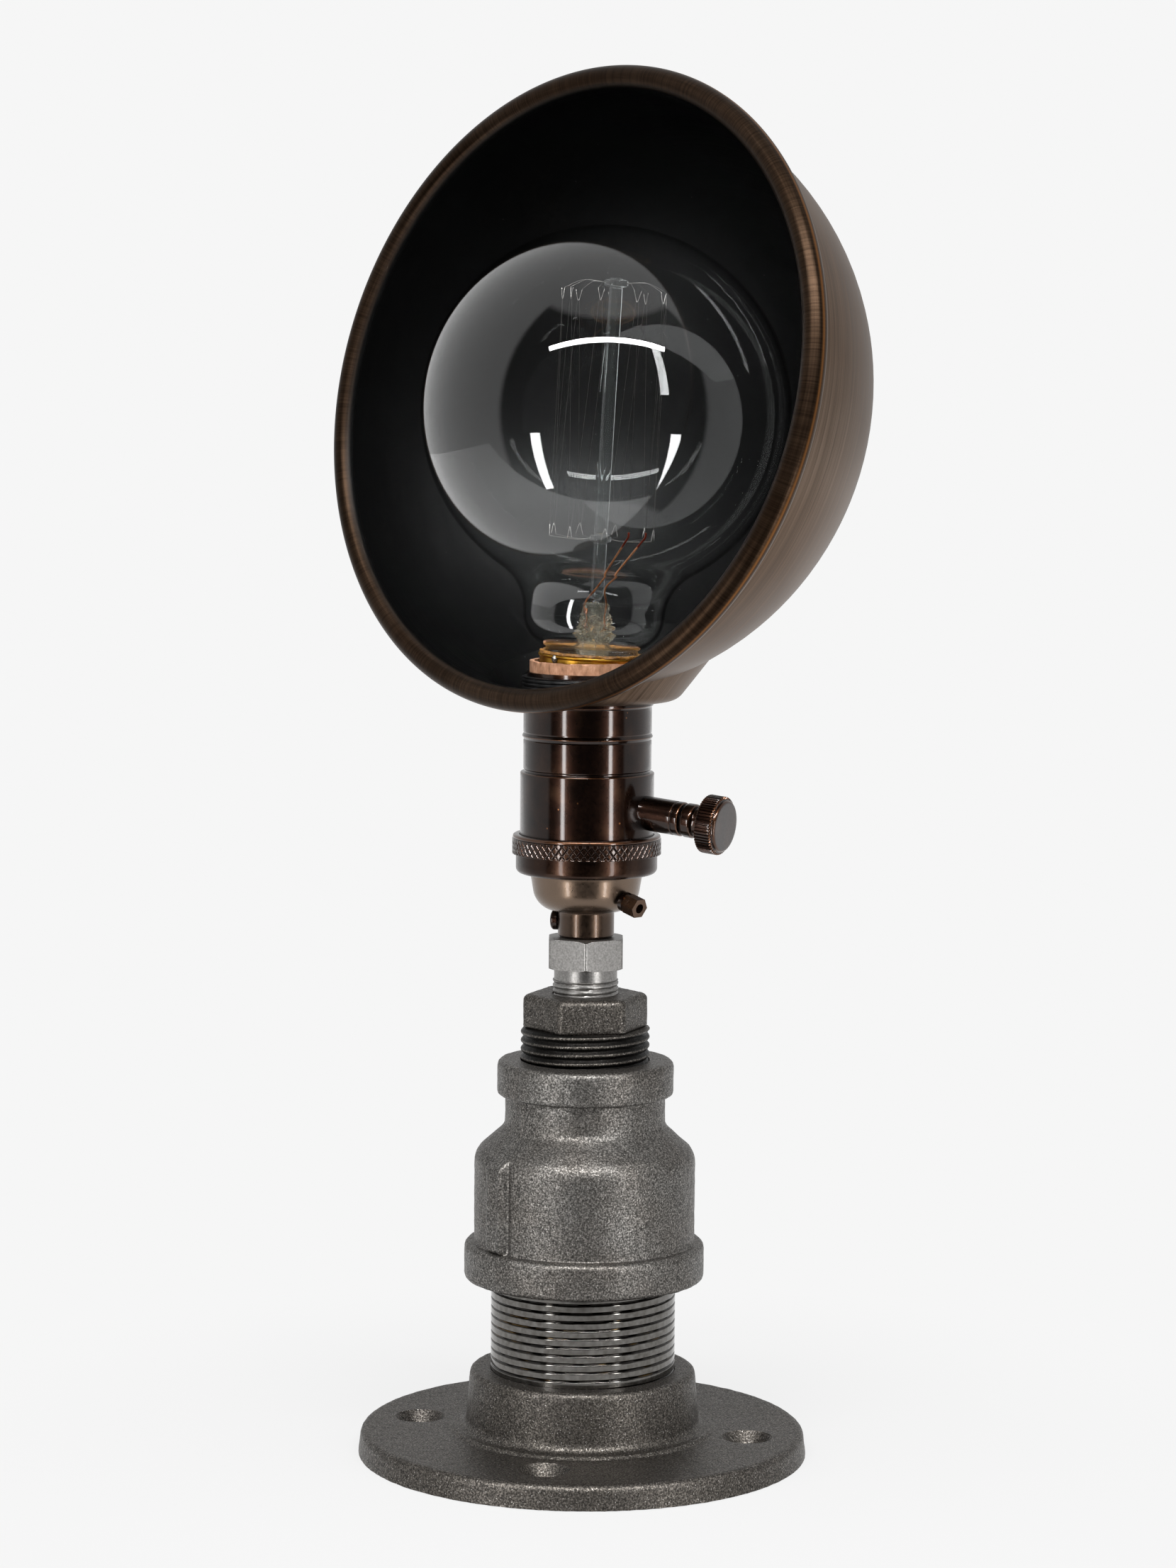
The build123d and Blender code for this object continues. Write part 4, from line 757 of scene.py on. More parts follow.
def makeAdapter():
    a = adapter
    thread = [Vector((a["crest"], z)) for z in np.arange(a["low"], a["collarLow"], a["ring"])]
    collar = [Vector((a["collar"], a["collarLow"])), Vector((a["collar"], a["hexLow"]))]
    levels = [*np.arange(0, 0.7, 0.06), *np.arange(0.8, 7.2, 0.8), *np.arange(7.2, 7.9, 0.06), 7.9]
    hexRings = [Vector((hexMark, a["hexLow"] + z)) for z in levels]
    ends = [Vector((a["bore"], a["hexHigh"])), Vector((a["bore"], a["low"]))]
    vertices, faces = turnedGrid([*thread, *fillIn(collar, 0.8), *hexRings, *ends], 360, adapterShape)
    addPiece("hexAdapter", vertices, faces, standPlace, "zinc", "stand", ["hex_adapter"], 26)


makeAdapter()


# socket cap with its diamond-knurled band
cap = {"low": 135.5, "neck": 7.27, "cupLow": 142.5, "cupFoot": 12.9, "cup": 14.5, "skirtLow": 152.2,
       "skirt": 18.25,
       "bore": 17.35, "knurlLow": 157.2, "knurl": 19.2, "high": 162.3, "lip": 1.1, "tube": 5.05, "wall": 1.3,
       "diamonds": 63, "slant": 3.2, "groove": 0.34, "line": 0.14}


def makeCap():
    c = cap
    corners = [(c["tube"], c["low"], 0), (c["neck"] - 0.7, c["low"], 0), (c["neck"], c["low"] + 0.7, 0),
               (c["neck"], c["cupLow"] - 0.1, 0.35), (c["cupFoot"], c["cupLow"], 6.2),
               (c["cup"], c["skirtLow"], 0.3),
               (c["skirt"], c["skirtLow"], 1.5), (c["skirt"], c["knurlLow"] + 0.5, 0),
               (c["bore"] + 0.2, c["knurlLow"] + 0.5, 0)]
    outer = profileOf(corners, 0.4, 0.9)
    inner = [Vector(p) for p in ((c["bore"], 153.5), (c["cup"] - c["wall"], 153.5),
                                 (c["cupFoot"] - 2.2, 144.6),
                                 (c["tube"], 143.8))]
    profile = [*outer, *inner]
    vertices, faces = turnedGrid(profile, 200)
    # the cup is rubbed lighter than the neck, and the skirt stays dark
    wear = np.select([vertices[:, 2] < c["cupLow"], vertices[:, 2] < c["skirtLow"] - 0.1], [0.17, 0.47], 0.0)
    addPiece("socketCap", vertices, faces, standPlace, "satinBronze", "stand",
             ["socket_cap"], 38,
             {"rubbed": np.maximum(rubbedEdges(profile, 200, 0.3), wear)})


def knurlShape(angles, radii, heights):
    c = cap
    if radii[0] < c["knurl"] - 0.01:
        return radii, heights
    top = c["high"] - c["lip"]
    z = (heights - c["knurlLow"]) / (top - c["knurlLow"])
    around = angles * c["diamonds"] / (2 * math.pi)
    lean = z * c["slant"] * c["diamonds"] / (2 * math.pi * c["knurl"])
    dips = []
    for path in (around + lean, around - lean):
        fraction = np.mod(path, 1)
        dips.append(np.clip(1 - np.minimum(fraction, 1 - fraction) / c["line"], 0, 1))
    fade = np.clip(np.minimum(heights - c["knurlLow"] - 0.15, top - heights) / 0.25, 0, 1)
    return radii - c["groove"] * np.maximum(*dips) * fade, heights


def makeKnurl():
    c = cap
    top = c["high"] - c["lip"]
    band = [Vector((c["knurl"], z)) for z in np.linspace(c["knurlLow"] + 0.1, top, 42)]
    lip = [Vector(p) for p in ((c["knurl"] - 0.25, top + 0.12), (c["knurl"] - 0.1, top + 0.4),
                               (c["knurl"] - 0.25, c["high"] - 0.2), (c["knurl"] - 0.6, c["high"]),
                               (c["bore"] + 0.15, c["high"]), (c["bore"], c["high"] - 0.2))]
    foot = [Vector((c["bore"], c["knurlLow"] - 2)), Vector((c["skirt"] - 0.1, c["knurlLow"] - 1)),
            Vector((c["skirt"] - 0.1, c["knurlLow"])), Vector((c["knurl"] - 0.15, c["knurlLow"]))]
    segments = c["diamonds"] * 20
    vertices, faces = turnedGrid([*foot, *band, *lip], segments, knurlShape)
    worn = np.repeat([0.0] * len(foot) + [0.04] * len(band) + [0.0, 0.2, 0.3, 0.1, 0.0, 0.0], segments)
    addPiece("knurledBand", vertices, faces, standPlace, "bronze", "stand", sharp=50,
             values={"rubbed": worn})


makeCap()
makeKnurl()


# socket shell: wide below, stepped in above, with a bead and a lip under the shade
shell = {"low": 153.5, "radius": 17.25, "step": 178.5, "upper": 16.5, "bead": 187.7, "seat": 196.8,
         "lip": 16.9,
         "neck": 15.6, "top": 204.2, "bore": 15.1}


def makeShell():
    s = shell
    upper, step, bead, seat = s["upper"], s["step"], s["bead"], s["seat"]
    corners = [(s["bore"] + 1.2, s["low"], 0), (s["radius"], s["low"], 0), (s["radius"], step - 0.1, 0.45),
               (upper - 0.25, step + 0.1, 0.12), (upper - 0.25, step + 0.5, 0.1), (upper, step + 0.8, 0.1),
               (upper, bead - 1.1, 0.1), (upper - 0.2, bead - 0.8, 0.1), (upper + 0.35, bead, 0.35),
               (upper - 0.08, bead + 0.8, 0.15), (upper, bead + 1.1, 0.1), (upper, seat - 1.4, 0.15),
               (s["lip"], seat - 1.0, 0.3), (s["lip"], seat, 0.3), (s["neck"], seat, 0),
               (s["neck"], s["top"], 0),
               (s["bore"], s["top"], 0), (s["bore"], step, 0)]
    profile = profileOf(corners, 0.12, 1.2)
    vertices, faces = turnedGrid(profile, 200)
    addPiece("socketShell", vertices, faces, standPlace, "bronze", "stand",
             ["socket_shell"], 50,
             {"rubbed": rubbedEdges(profile, 200, 0.25)})


makeShell()


# switch stem and turn knob, measured along the knob's axis from the lamp's axis
knob = {"height": 170.3, "turn": 15.4, "droop": 5.5, "stem": 4.4, "stemLow": 11.0, "stemHigh": 28.1,
        "bore": 2.3,
        "ring": 4.4, "waist": 3.4, "disc": 7.5, "back": 34.5, "front": 39.1, "face": 6.65, "faceHigh": 40.0,
        "teeth": 54, "tooth": 0.4}
knobTurn = math.radians(knob["turn"])
knobDroop = math.radians(knob["droop"])
knobAxis = Vector((math.cos(knobTurn) * math.cos(knobDroop), math.sin(knobTurn) * math.cos(knobDroop),
                   -math.sin(knobDroop)))
knobPlace = framePlace(Vector((0, 0, knob["height"])), Vector((-math.sin(knobTurn), math.cos(knobTurn), 0)),
                       knobAxis)


def makeStem():
    k = knob
    high, radius = k["stemHigh"], k["stem"]
    corners = [(k["bore"], k["stemLow"], 0), (radius, k["stemLow"], 0), (radius, high - 2.3, 0.08),
               (radius - 0.2, high - 2.1, 0.08), (radius - 0.2, high - 1.9, 0.08), (radius, high - 1.7, 0.08),
               (radius, high, 0.4), (k["bore"], high, 0)]
    profile = profileOf(corners, 0.1, 1.0)
    vertices, faces = turnedGrid(profile, 96)
    addPiece("switchStem", vertices, faces, knobPlace, "bronze", "stand", ["switch_stem"],
             50,
             {"rubbed": rubbedEdges(profile, 96, 0.35)})


def toothedRim(angles, radii, heights):
    # straight teeth round the knob's disc
    depth = knob["tooth"] * np.clip((radii - 6.8) / 0.5, 0, 1)
    notch = np.clip(1.7 * (0.5 + 0.5 * np.cos(knob["teeth"] * angles)) - 0.35, 0, 1)
    return radii - depth * notch, heights


def makeKnob():
    k = knob
    start = k["stemHigh"] + 0.6
    corners = [(k["bore"] - 0.35, start, 0), (k["ring"], start, 0.7), (k["ring"], start + 3.0, 0.7),
               (k["waist"], start + 3.1, 0.15), (k["waist"], k["back"] - 0.5, 0.5),
               (k["waist"] + 1.4, k["back"], 0.2),
               (k["disc"], k["back"], 0.45), (k["disc"], k["front"], 0.45),
               (k["face"], k["front"] + 0.05, 0.1),
               (k["face"], k["faceHigh"], 0.6), (0.01, k["faceHigh"], 0)]
    outer = profileOf(corners, 0.15, 0.6)
    profile = [*outer, Vector((0.01, start + 7)), Vector((k["bore"] - 0.35, start + 7))]
    segments = k["teeth"] * 8
    vertices, faces = turnedGrid(profile, segments, toothedRim)
    addPiece("turnKnob", vertices, faces, knobPlace, "bronze", "knob", ["turn_knob"], 40,
             {"rubbed": rubbedEdges(profile, segments, 0.45)})


makeStem()
makeKnob()
print("fittings made")


# shade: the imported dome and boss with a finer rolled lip
dome = {"rim": 78.28, "sheet": 1.0, "lip": 3.1, "curl": 35.0, "segments": 720}
shadePlace = framePlace(shadeCentre, Vector((1, 0, 0)), shadeAxis)


def lipRings():
    # rings of the lip from its curled edge over the crest to its inner foot and back underneath
    middle = dome["rim"] - dome["sheet"] + dome["lip"]
    turns = np.radians(np.linspace(-dome["curl"], 180, 64))
    front = [Vector((middle + dome["lip"] * math.cos(t), dome["lip"] * math.sin(t))) for t in turns]
    inner = dome["lip"] - dome["sheet"]
    back = [Vector((middle + inner * math.cos(t), inner * math.sin(t))) for t in turns[::-4]]
    return front + back, turns, len(back)


def makeShade():
    source = nodes["shade"]
    skin = source.data.copy()
    skin.transform(source.matrix_world)
    toShade = shadePlace.inverted()
    work = bmesh.new()
    work.from_mesh(skin)
    lipFaces = []
    for face in work.faces:
        spot = toShade @ face.calc_center_median()
        if spot.z > -0.02 or math.hypot(spot.x, spot.y) > dome["rim"] + 0.6 and spot.z > -2.5:
            lipFaces.append(face)
    bmesh.ops.delete(work, geom=lipFaces, context="FACES")
    work.verts.ensure_lookup_table()
    lookFrom = Vector((0, 0, -20))
    lacquer = []
    for vertex in work.verts:
        spot = toShade @ vertex.co
        facing = (toShade.to_3x3() @ vertex.normal).dot(lookFrom - spot)
        lacquer.append(1.0 if facing > 0 else 0.0)
    zero = [0.0] * len(lacquer)
    work.to_mesh(skin)
    work.free()
    profile, turns, backCount = lipRings()
    vertices, faces = turnedGrid(profile, dome["segments"])
    degrees = np.degrees(turns)
    black = np.clip((degrees - 118) / 42, 0, 1)
    black = black * black * (3 - 2 * black)
    copper = 0.9 * np.clip(1 - np.abs(degrees - 6) / 11, 0, 1)
    brush = np.clip(np.minimum(degrees + 30, 170 - degrees) / 30, 0, 1)
    spare = np.zeros(backCount)
    parts = [([v.co.copy() for v in skin.vertices], [tuple(p.vertices) for p in skin.polygons]),
             ([shadePlace @ Vector(v) for v in vertices], faces)]
    allVertices, allFaces = joined(parts)
    values = {}
    for label, first, second in (("lacquer", lacquer, black), ("rubbed", zero, copper), ("lip", zero, brush)):
        values[label] = np.concatenate([first, np.repeat([*second, *spare], dome["segments"])])
    mesh = bpy.data.meshes.new("shadeSkin")
    mesh.from_pydata(allVertices, [], allFaces)
    storeValues(mesh, values)
    bpy.data.meshes.remove(skin)
    piece = bpy.data.objects.new("shadeSkin", mesh)
    bpy.context.scene.collection.objects.link(piece)
    finishPiece(piece, "shade", "shade", ["shade"], 40)


makeShade()
print("shade made")


# shade ring, screwed down inside the shade
ring = {"low": 198.1, "foot": 17.7, "footHigh": 199.5, "outer": 16.9, "high": 203.1, "bore": 15.7,
        "groove": 0.35,
        "pitch": 1.0, "land": 0.5, "ring": 0.09}


def makeRing():
    r = ring
    thread = [Vector((r["outer"], z)) for z in np.arange(r["footHigh"], r["high"], r["ring"])]
    profile = [Vector((r["bore"], r["low"])), Vector((r["foot"], r["low"])),
               Vector((r["foot"], r["footHigh"] - 0.2)),
               Vector((r["foot"] - 0.2, r["footHigh"])), *thread, Vector((r["outer"] - 0.3, r["high"])),
               Vector((r["bore"], r["high"]))]
    cut = threadCut(r["outer"], r["groove"], r["pitch"], r["footHigh"], r["high"], r["land"])
    vertices, faces = turnedGrid(profile, 160, cut)
    addPiece("shadeRing", vertices, faces, standPlace, "ring", "stand", ["shade_ring"], 45)


makeRing()


# fibre liner with a torn top edge
liner = {"bore": 13.8, "outer": 15.0, "low": 153.5, "high": 207.0, "tear": 0.45, "seam": 0.25}


def linerShape(angles, radii, heights):
    tops = heights > liner["high"] - 2.4
    spots = [Vector((4 * math.cos(a), 4 * math.sin(a), r)) for a, r in zip(angles, radii)]
    torn = np.array([noise.noise(s) + 0.5 * noise.noise(s * 3.1) for s in spots])
    share = np.clip((heights - liner["high"] + 2.4) / 2.4, 0, 1)
    seams = sum(np.clip(1 - np.abs(np.mod(angles - t + math.pi, 2 * math.pi) - math.pi) / 0.02, 0, 1)
                for t in (-2.2, -1.55, -1.1, -0.6, 0.6, 2.0))
    outward = np.where(radii > 14.5, -liner["seam"] * seams, 0)
    return radii + outward * tops, heights + liner["tear"] * np.minimum(torn, 0.1) * share


def makeLiner():
    ell = liner
    levels = [*np.linspace(ell["low"], 203, 8), *np.linspace(204, ell["high"], 12)]
    outer = [Vector((ell["outer"], z)) for z in levels]
    inner = [Vector((ell["bore"], z)) for z in (ell["high"], 205.5, 203, ell["low"])]
    rim = [Vector((ell["outer"] - 0.3, ell["high"])), Vector((ell["bore"] + 0.3, ell["high"]))]
    vertices, faces = turnedGrid([*outer, *rim, *inner], 320, linerShape)
    addPiece("fibreLiner", vertices, faces, standPlace, "fibre", "stand", ["fibre_liner"], 45)


makeLiner()


# glass globe
globe = {"radius": 47.4, "centre": 61.1, "neck": 18.2, "neckHeight": 9.2, "tail": 12.0, "low": -4.4,
         "foot": 8.85,
         "wall": 0.7}


def globeOutline(inset):
    g = globe
    radius = g["radius"]
    arc = (g["neck"] ** 2 + (g["centre"] - g["neckHeight"]) ** 2 - radius**2) / (2 * (radius - g["neck"]))
    flareCentre = Vector((g["neck"] + arc, g["neckHeight"]))
    globeCentre = Vector((0, g["centre"]))
    join = (flareCentre - globeCentre).normalized()
    footCentre = Vector((g["neck"] - g["foot"], g["neckHeight"]))
    footTurn = -math.acos((g["tail"] - footCentre.x) / g["foot"])
    points = [Vector((g["tail"] - inset, g["low"]))]
    for t in np.linspace(footTurn, 0, 16):
        points.append(footCentre + Vector((math.cos(t), math.sin(t))) * (g["foot"] - inset))
    endTurn = math.atan2(*(-join).yx)
    for t in np.linspace(math.pi, endTurn, 24)[1:]:
        points.append(flareCentre + Vector((math.cos(t), math.sin(t))) * (arc + inset))
    startTurn = math.atan2(*join.yx)
    for t in np.linspace(startTurn, math.pi / 2, 90)[1:]:
        points.append(globeCentre + Vector((math.cos(t), math.sin(t))) * (radius - inset))
    return points


def makeGlobe():
    outer = globeOutline(0)
    inner = globeOutline(globe["wall"])
    vertices, faces = turnedGrid([*outer, *reversed(inner)], 160)
    addPiece("bulbGlass", vertices, faces, bulbPlace, "globe", "bulb", ["bulb_glass"], 0)


makeGlobe()
print("bulb glass made")


# brass base of the bulb: screw thread below, a rolled rim above
base = {"crest": 12.5, "groove": 0.8, "pitch": 3.63, "threadLow": -20.0, "threadHigh": -5.0, "rim": 13.6,
        "body": 13.2,
        "top": -1.2, "wall": 12.1, "cone": -21.0, "foot": -23.6, "footRadius": 8.2}


def makeBase():
    b = base
    thread = [Vector((b["crest"], z)) for z in np.arange(b["threadLow"], b["threadHigh"], 0.25)]
    top = b["top"]
    rim = profileOf([(b["crest"], top - 3.4, 0), (b["crest"] + 0.1, top - 3.1, 0.3),
                     (b["body"], top - 2.4, 0.4),
                     (b["body"], top - 0.8, 0.2), (b["rim"], top - 0.45, 0.15), (b["rim"], top, 0.15),
                     (b["wall"] + 0.9, top, 0.1), (b["wall"], top - 1.0, 0)], 0.1, 0.5)
    profile = [Vector((b["footRadius"], b["foot"])), Vector((b["crest"] - 0.02, b["cone"])), *thread, *rim,
               Vector((b["wall"] - 0.02, b["cone"] + 0.2)), Vector((b["footRadius"] - 0.4, b["foot"] + 0.3))]
    cut = threadCut(b["crest"], b["groove"], b["pitch"], b["threadLow"], b["threadHigh"])
    vertices, faces = turnedGrid(profile, 180, cut)
    addPiece("bulbBase", vertices, faces, bulbPlace, "brass", "bulb", ["bulb_base"], 50)


# ragged cement that shows between the rim and the glass
cement = {"inner": 12.06, "outer": 13.35, "low": -4.3, "foot": -1.2, "high": -0.35, "ragged": 0.35}


def cementShape(angles, radii, heights):
    spots = [Vector((5 * math.cos(a), 5 * math.sin(a), h)) for a, h in zip(angles, heights)]
    crumb = np.array([noise.noise(s) + 0.6 * noise.noise(s * 3.7) for s in spots])
    free = np.clip((radii - cement["inner"] - 0.25) / 0.5, 0, 1) * (heights > cement["foot"])
    return radii + 0.2 * crumb * free * (radii < cement["outer"]), heights + cement["ragged"] * crumb * free


def makeCement():
    c = cement
    low, high = c["foot"], c["high"]
    outline = [(c["inner"], c["low"]), (c["inner"] + 0.03, low - 1.0), (c["inner"] + 0.2, low - 0.1),
               (c["outer"] - 0.2, low + 0.02), (c["outer"], low + 0.25), (c["outer"] - 0.1, low + 0.6),
               (c["outer"] - 0.5, high), (c["outer"] - 0.8, high), (c["inner"] + 0.05, high - 0.2)]
    vertices, faces = turnedGrid(fillIn([Vector(p) for p in outline], 0.4), 260, cementShape)
    addPiece("basingCement", vertices, faces, bulbPlace, "cement", "bulb", ["base_cement"], 60)


# solder blob that ties one lead to the rim
blob = {"radius": 1.0, "turn": -90.5, "at": 13.35, "height": -2.1}


def makeBlob():
    turn = math.radians(blob["turn"]) - leanTurn
    middle = Vector((blob["at"] * math.cos(turn), blob["at"] * math.sin(turn), blob["height"]))
    work = bmesh.new()
    bmesh.ops.create_icosphere(work, subdivisions=4, radius=blob["radius"])
    for vertex in work.verts:
        lump = 1 + 0.16 * noise.noise(vertex.co * 1.1) + 0.06 * noise.noise(vertex.co * 3)
        vertex.co = Vector((vertex.co.x * 0.8, vertex.co.y * 0.8, vertex.co.z * 1.05)) * lump + middle
    vertices = [v.co.copy() for v in work.verts]
    faces = [tuple(v.index for v in f.verts) for f in work.faces]
    work.free()
    addPiece("sideSolder", vertices, faces, bulbPlace, "solder", "bulb", ["side_solder"], 0)


# glass stem: pressed flat round the wires, crumpled below, then a flare to the bulb's tail
stem = {"shift": 0.5, "top": 12.6, "pressLow": 8.7, "press": 3.3, "flat": 0.6, "crumpleLow": 3.2,
        "crumple": 4.7,
        "flareLow": -4.3, "flare": 10.8, "wall": 0.9, "lump": 0.34}


def stemShape(angles, radii, heights):
    s = stem
    z = heights[0]
    flat = 1 - (1 - s["flat"]) * min(1, max(0, (z - s["crumpleLow"]) / (s["pressLow"] - s["crumpleLow"])))
    shift = s["shift"] * min(1, max(0, (z - s["flareLow"]) / 9))
    x, y = radii * np.cos(angles), radii * np.sin(angles)
    # the press has flat sides with rounded corners
    square = min(1, max(0, (z - s["pressLow"] + 1) / 2)) * 0.5
    power = 2 + 4 * square
    grow = (np.abs(np.cos(angles)) ** power + np.abs(np.sin(angles)) ** power) ** (-1 / power)
    x, y = x * grow, y * grow * flat
    rough = min(1, max(0, (z - s["crumpleLow"] + 1.5) / 2)) * (1 if z < s["pressLow"] + 1 else 0.35)
    spots = [Vector((a, b, z)) for a, b in zip(x, y)]
    lumps = np.array([noise.noise(p * 0.75) + 0.9 * (0.4 - abs(noise.noise(p * 1.1)) * 2) for p in spots])
    far = 1 + s["lump"] * rough * lumps * (radii > 1)
    x, y = x * far + shift, y * far
    turn = np.arctan2(y, x)
    reach = np.hypot(x, y)
    return reach * np.cos(turn - angles), heights, reach * np.sin(turn - angles)


def makeStemGlass():
    s = stem
    outline = [(0.01, s["top"]), (s["press"] - 0.5, s["top"]), (s["press"], s["top"] - 0.5),
               (s["press"], s["pressLow"]),
               (s["press"] + 0.5, s["pressLow"] - 2), (s["crumple"], s["crumpleLow"] + 1),
               (s["crumple"], s["crumpleLow"]),
               (s["crumple"] - 0.8, 1.6), (s["crumple"] + 0.6, -0.6), (s["flare"], s["flareLow"]),
               (s["flare"] - s["wall"], s["flareLow"]), (s["crumple"] - 0.4, -0.6), (s["crumple"] - 1.7, 1.6),
               (s["crumple"] - 2.2, 2.6), (0.01, 3.0)]
    profile = fillIn([Vector(p) for p in outline], 0.35)
    segments = 96
    angles = np.linspace(0, 2 * math.pi, segments, endpoint=False)
    vertices, faces = turnedGrid(profile, segments)
    shaped = []
    for ring in vertices.reshape(len(profile), segments, 3):
        radii = np.hypot(ring[:, 0], ring[:, 1])
        outward, heights, sideways = stemShape(angles, radii, ring[:, 2])
        shaped.append(np.stack([outward * np.cos(angles) - sideways * np.sin(angles),
                                outward * np.sin(angles) + sideways * np.cos(angles), heights], axis=1))
    addPiece("glassStem", np.concatenate(shaped), faces, bulbPlace, "stem", "bulb",
             ["glass_stem"], 0)


# glass rod with two beads
rod = {"radius": 1.75, "low": 12.62, "high": 95.2, "upper": 93.8, "upperBead": 3.15, "lower": 28.8,
       "lowerBead": 2.8,
       "bead": 0.85}


def makeRod():
    r = rod
    outline = [(0.01, r["low"], 0), (r["radius"], r["low"], 0)]
    for middle, bead in ((r["lower"], r["lowerBead"]), (r["upper"], r["upperBead"])):
        outline += [(r["radius"], middle - r["bead"] - 0.2, 0.3), (bead, middle - r["bead"], 0.7),
                    (bead, middle + r["bead"], 0.7), (r["radius"], middle + r["bead"] + 0.2, 0.3)]
    outline += [(r["radius"], r["high"], 0.8), (0.01, r["high"], 0)]
    vertices, faces = turnedGrid(profileOf(outline, 0.2, 4.0), 48, loop=False)
    place = bulbPlace @ Matrix.Translation((stem["shift"], 0, 0))
    addPiece("glassRod", vertices, faces, place, "rod", "bulb", ["glass_rod"], 0)


# wires of the mount: supports with hooked ends, one long filament, and two leads
cage = {"turn": -46.0, "radius": 13.5, "top": 89.6, "bottom": 31.4, "hooks": 9, "half": 5.1, "support": 0.1,
        "arm": 0.045,
        "filament": 0.03, "lead": 0.26, "spread": 13.0, "knee": 4.2, "hook": 2.5, "hookWidth": 0.9}


def onCage(radius, angle, height):
    turn = math.radians(angle)
    return Vector((radius * math.cos(turn) + stem["shift"], radius * math.sin(turn), height))


def softPath(points, pieces=6):
    # smooth path through the points
    ends = [points[0] * 2 - points[1], *points, points[-1] * 2 - points[-2]]
    path = [points[0]]
    for a, b, c, d in zip(ends, ends[1:], ends[2:], ends[3:]):
        for k in range(1, pieces + 1):
            t = k / pieces
            path.append(0.5 * (2 * b + (c - a) * t + (2 * a - 5 * b + 4 * c - d) * t * t
                               + (3 * b - a - 3 * c + d) * t ** 3))
    return path


def makeSupports():
    c = cage
    step = 360 / c["hooks"]
    ends = (("upperSupports", "upper_supports", rod["upper"], rod["upperBead"], c["top"], step / 2,
             c["hooks"], -1),
            ("lowerSupports", "lower_supports", rod["lower"], rod["lowerBead"], c["bottom"], step,
             c["hooks"] - 1, 1))
    for name, node, bead, beadRadius, end, first, count, way in ends:
        wires = []
        for index in range(count):
            angle = c["turn"] + first + index * step
            aside = math.degrees(c["hookWidth"] / c["radius"])
            arm = [onCage(beadRadius - 0.3, angle, bead),
                   onCage(beadRadius + 2.5, angle - aside / 3, bead - 0.4 * way),
                   onCage(9.0, angle - aside * 0.7, bead - 0.3 * way)]
            hook = [onCage(c["radius"] - 0.3, angle - aside, end - c["hook"] * way),
                    onCage(c["radius"] - 0.1, angle - aside / 4, end + 0.1 * way),
                    onCage(c["radius"], angle, end + 0.45 * way),
                    onCage(c["radius"] + 0.1, angle + aside / 4, end + 0.1 * way),
                    onCage(c["radius"] + 0.2, angle + aside, end - c["hook"] * 0.9 * way)]
            wires.append(wireTube(softPath([*arm, hook[0]], 4), c["arm"]))
            wires.append(wireTube(softPath(hook, 4), c["support"]))
        vertices, faces = joined(wires)
        addPiece(name, vertices, faces, bulbPlace, "support", "bulb", [node], 0)


def makeFilament():
    c = cage
    step = 360 / c["hooks"]
    path = [onCage(c["radius"], c["turn"] + c["spread"], c["bottom"])]
    for index in range(c["hooks"]):
        high = c["turn"] + (index + 0.5) * step
        low = c["turn"] + (index + 1) * step
        for bend in (-1, -0.5, 0, 0.5, 1):
            path.append(onCage(c["radius"], high + bend * c["half"] * 0.35, c["top"] - 0.9 * bend * bend))
        if index < c["hooks"] - 1:
            for bend in (-1, -0.5, 0, 0.5, 1):
                path.append(onCage(c["radius"], low + bend * c["half"] * 0.35,
                                   c["bottom"] + 0.9 * bend * bend))
    path.append(onCage(c["radius"], c["turn"] - c["spread"], c["bottom"]))
    vertices, faces = wireTube(path, c["filament"], 5)
    addPiece("filament", vertices, faces, bulbPlace, "filament", "bulb", ["filament"], 0)


def makeLeads():
    c = cage
    wires, tips = [], []
    for side, start, knee in ((1, -25, -52), (-1, 190, -94)):
        end = onCage(c["radius"], c["turn"] + side * c["spread"], c["bottom"] - 1.3)
        spots = [onCage(2.6, start, stem["top"] - 2.6), onCage(2.7, start, stem["top"] + 0.3),
                 onCage(3.3, knee, stem["top"] + c["knee"])]
        run = [spots[-1].lerp(end, t) for t in (0.3, 0.6, 0.8)]
        wires.append(wireTube(softPath([*spots, *run], 6), c["lead"], 10))
        tips.append(wireTube(softPath([run[-1], run[-1].lerp(end, 0.6), end, end + Vector((0, 0, 1.2))], 5),
                             c["lead"] * 1.15, 10))
        # copper-clad wire sealed in the press
        inPress = [onCage(2.3 * side, 0, z) + Vector((0, -0.9, 0)) for z in (11.0, 9.5, 7.5, 5.0)]
        wires.append(wireTube(inPress, 0.22, 8))
    vertices, faces = joined(wires)
    addPiece("leadWires", vertices, faces, bulbPlace, "copper", "bulb", ["lead_wires"], 0)
    vertices, faces = joined(tips)
    addPiece("leadClamps", vertices, faces, bulbPlace, "clamp", "bulb", sharp=0)
    # fine wires from the press down into the base
    fine = []
    for x, y in ((-2.2, -1.0), (0.9, -0.6), (3.4, 0.4)):
        fine.append(wireTube([Vector((x + stem["shift"] * 0.5, y, 5.6)), Vector((x * 1.05, y, 1.0)),
                              Vector((x * 1.1, y, -4.0))], 0.13, 6))
    vertices, faces = joined(fine)
    addPiece("baseWires", vertices, faces, bulbPlace, "filament", "bulb", sharp=0)


makeBase()
makeCement()
makeBlob()
makeStemGlass()
makeRod()
makeSupports()
makeFilament()
makeLeads()
print("bulb mount made")


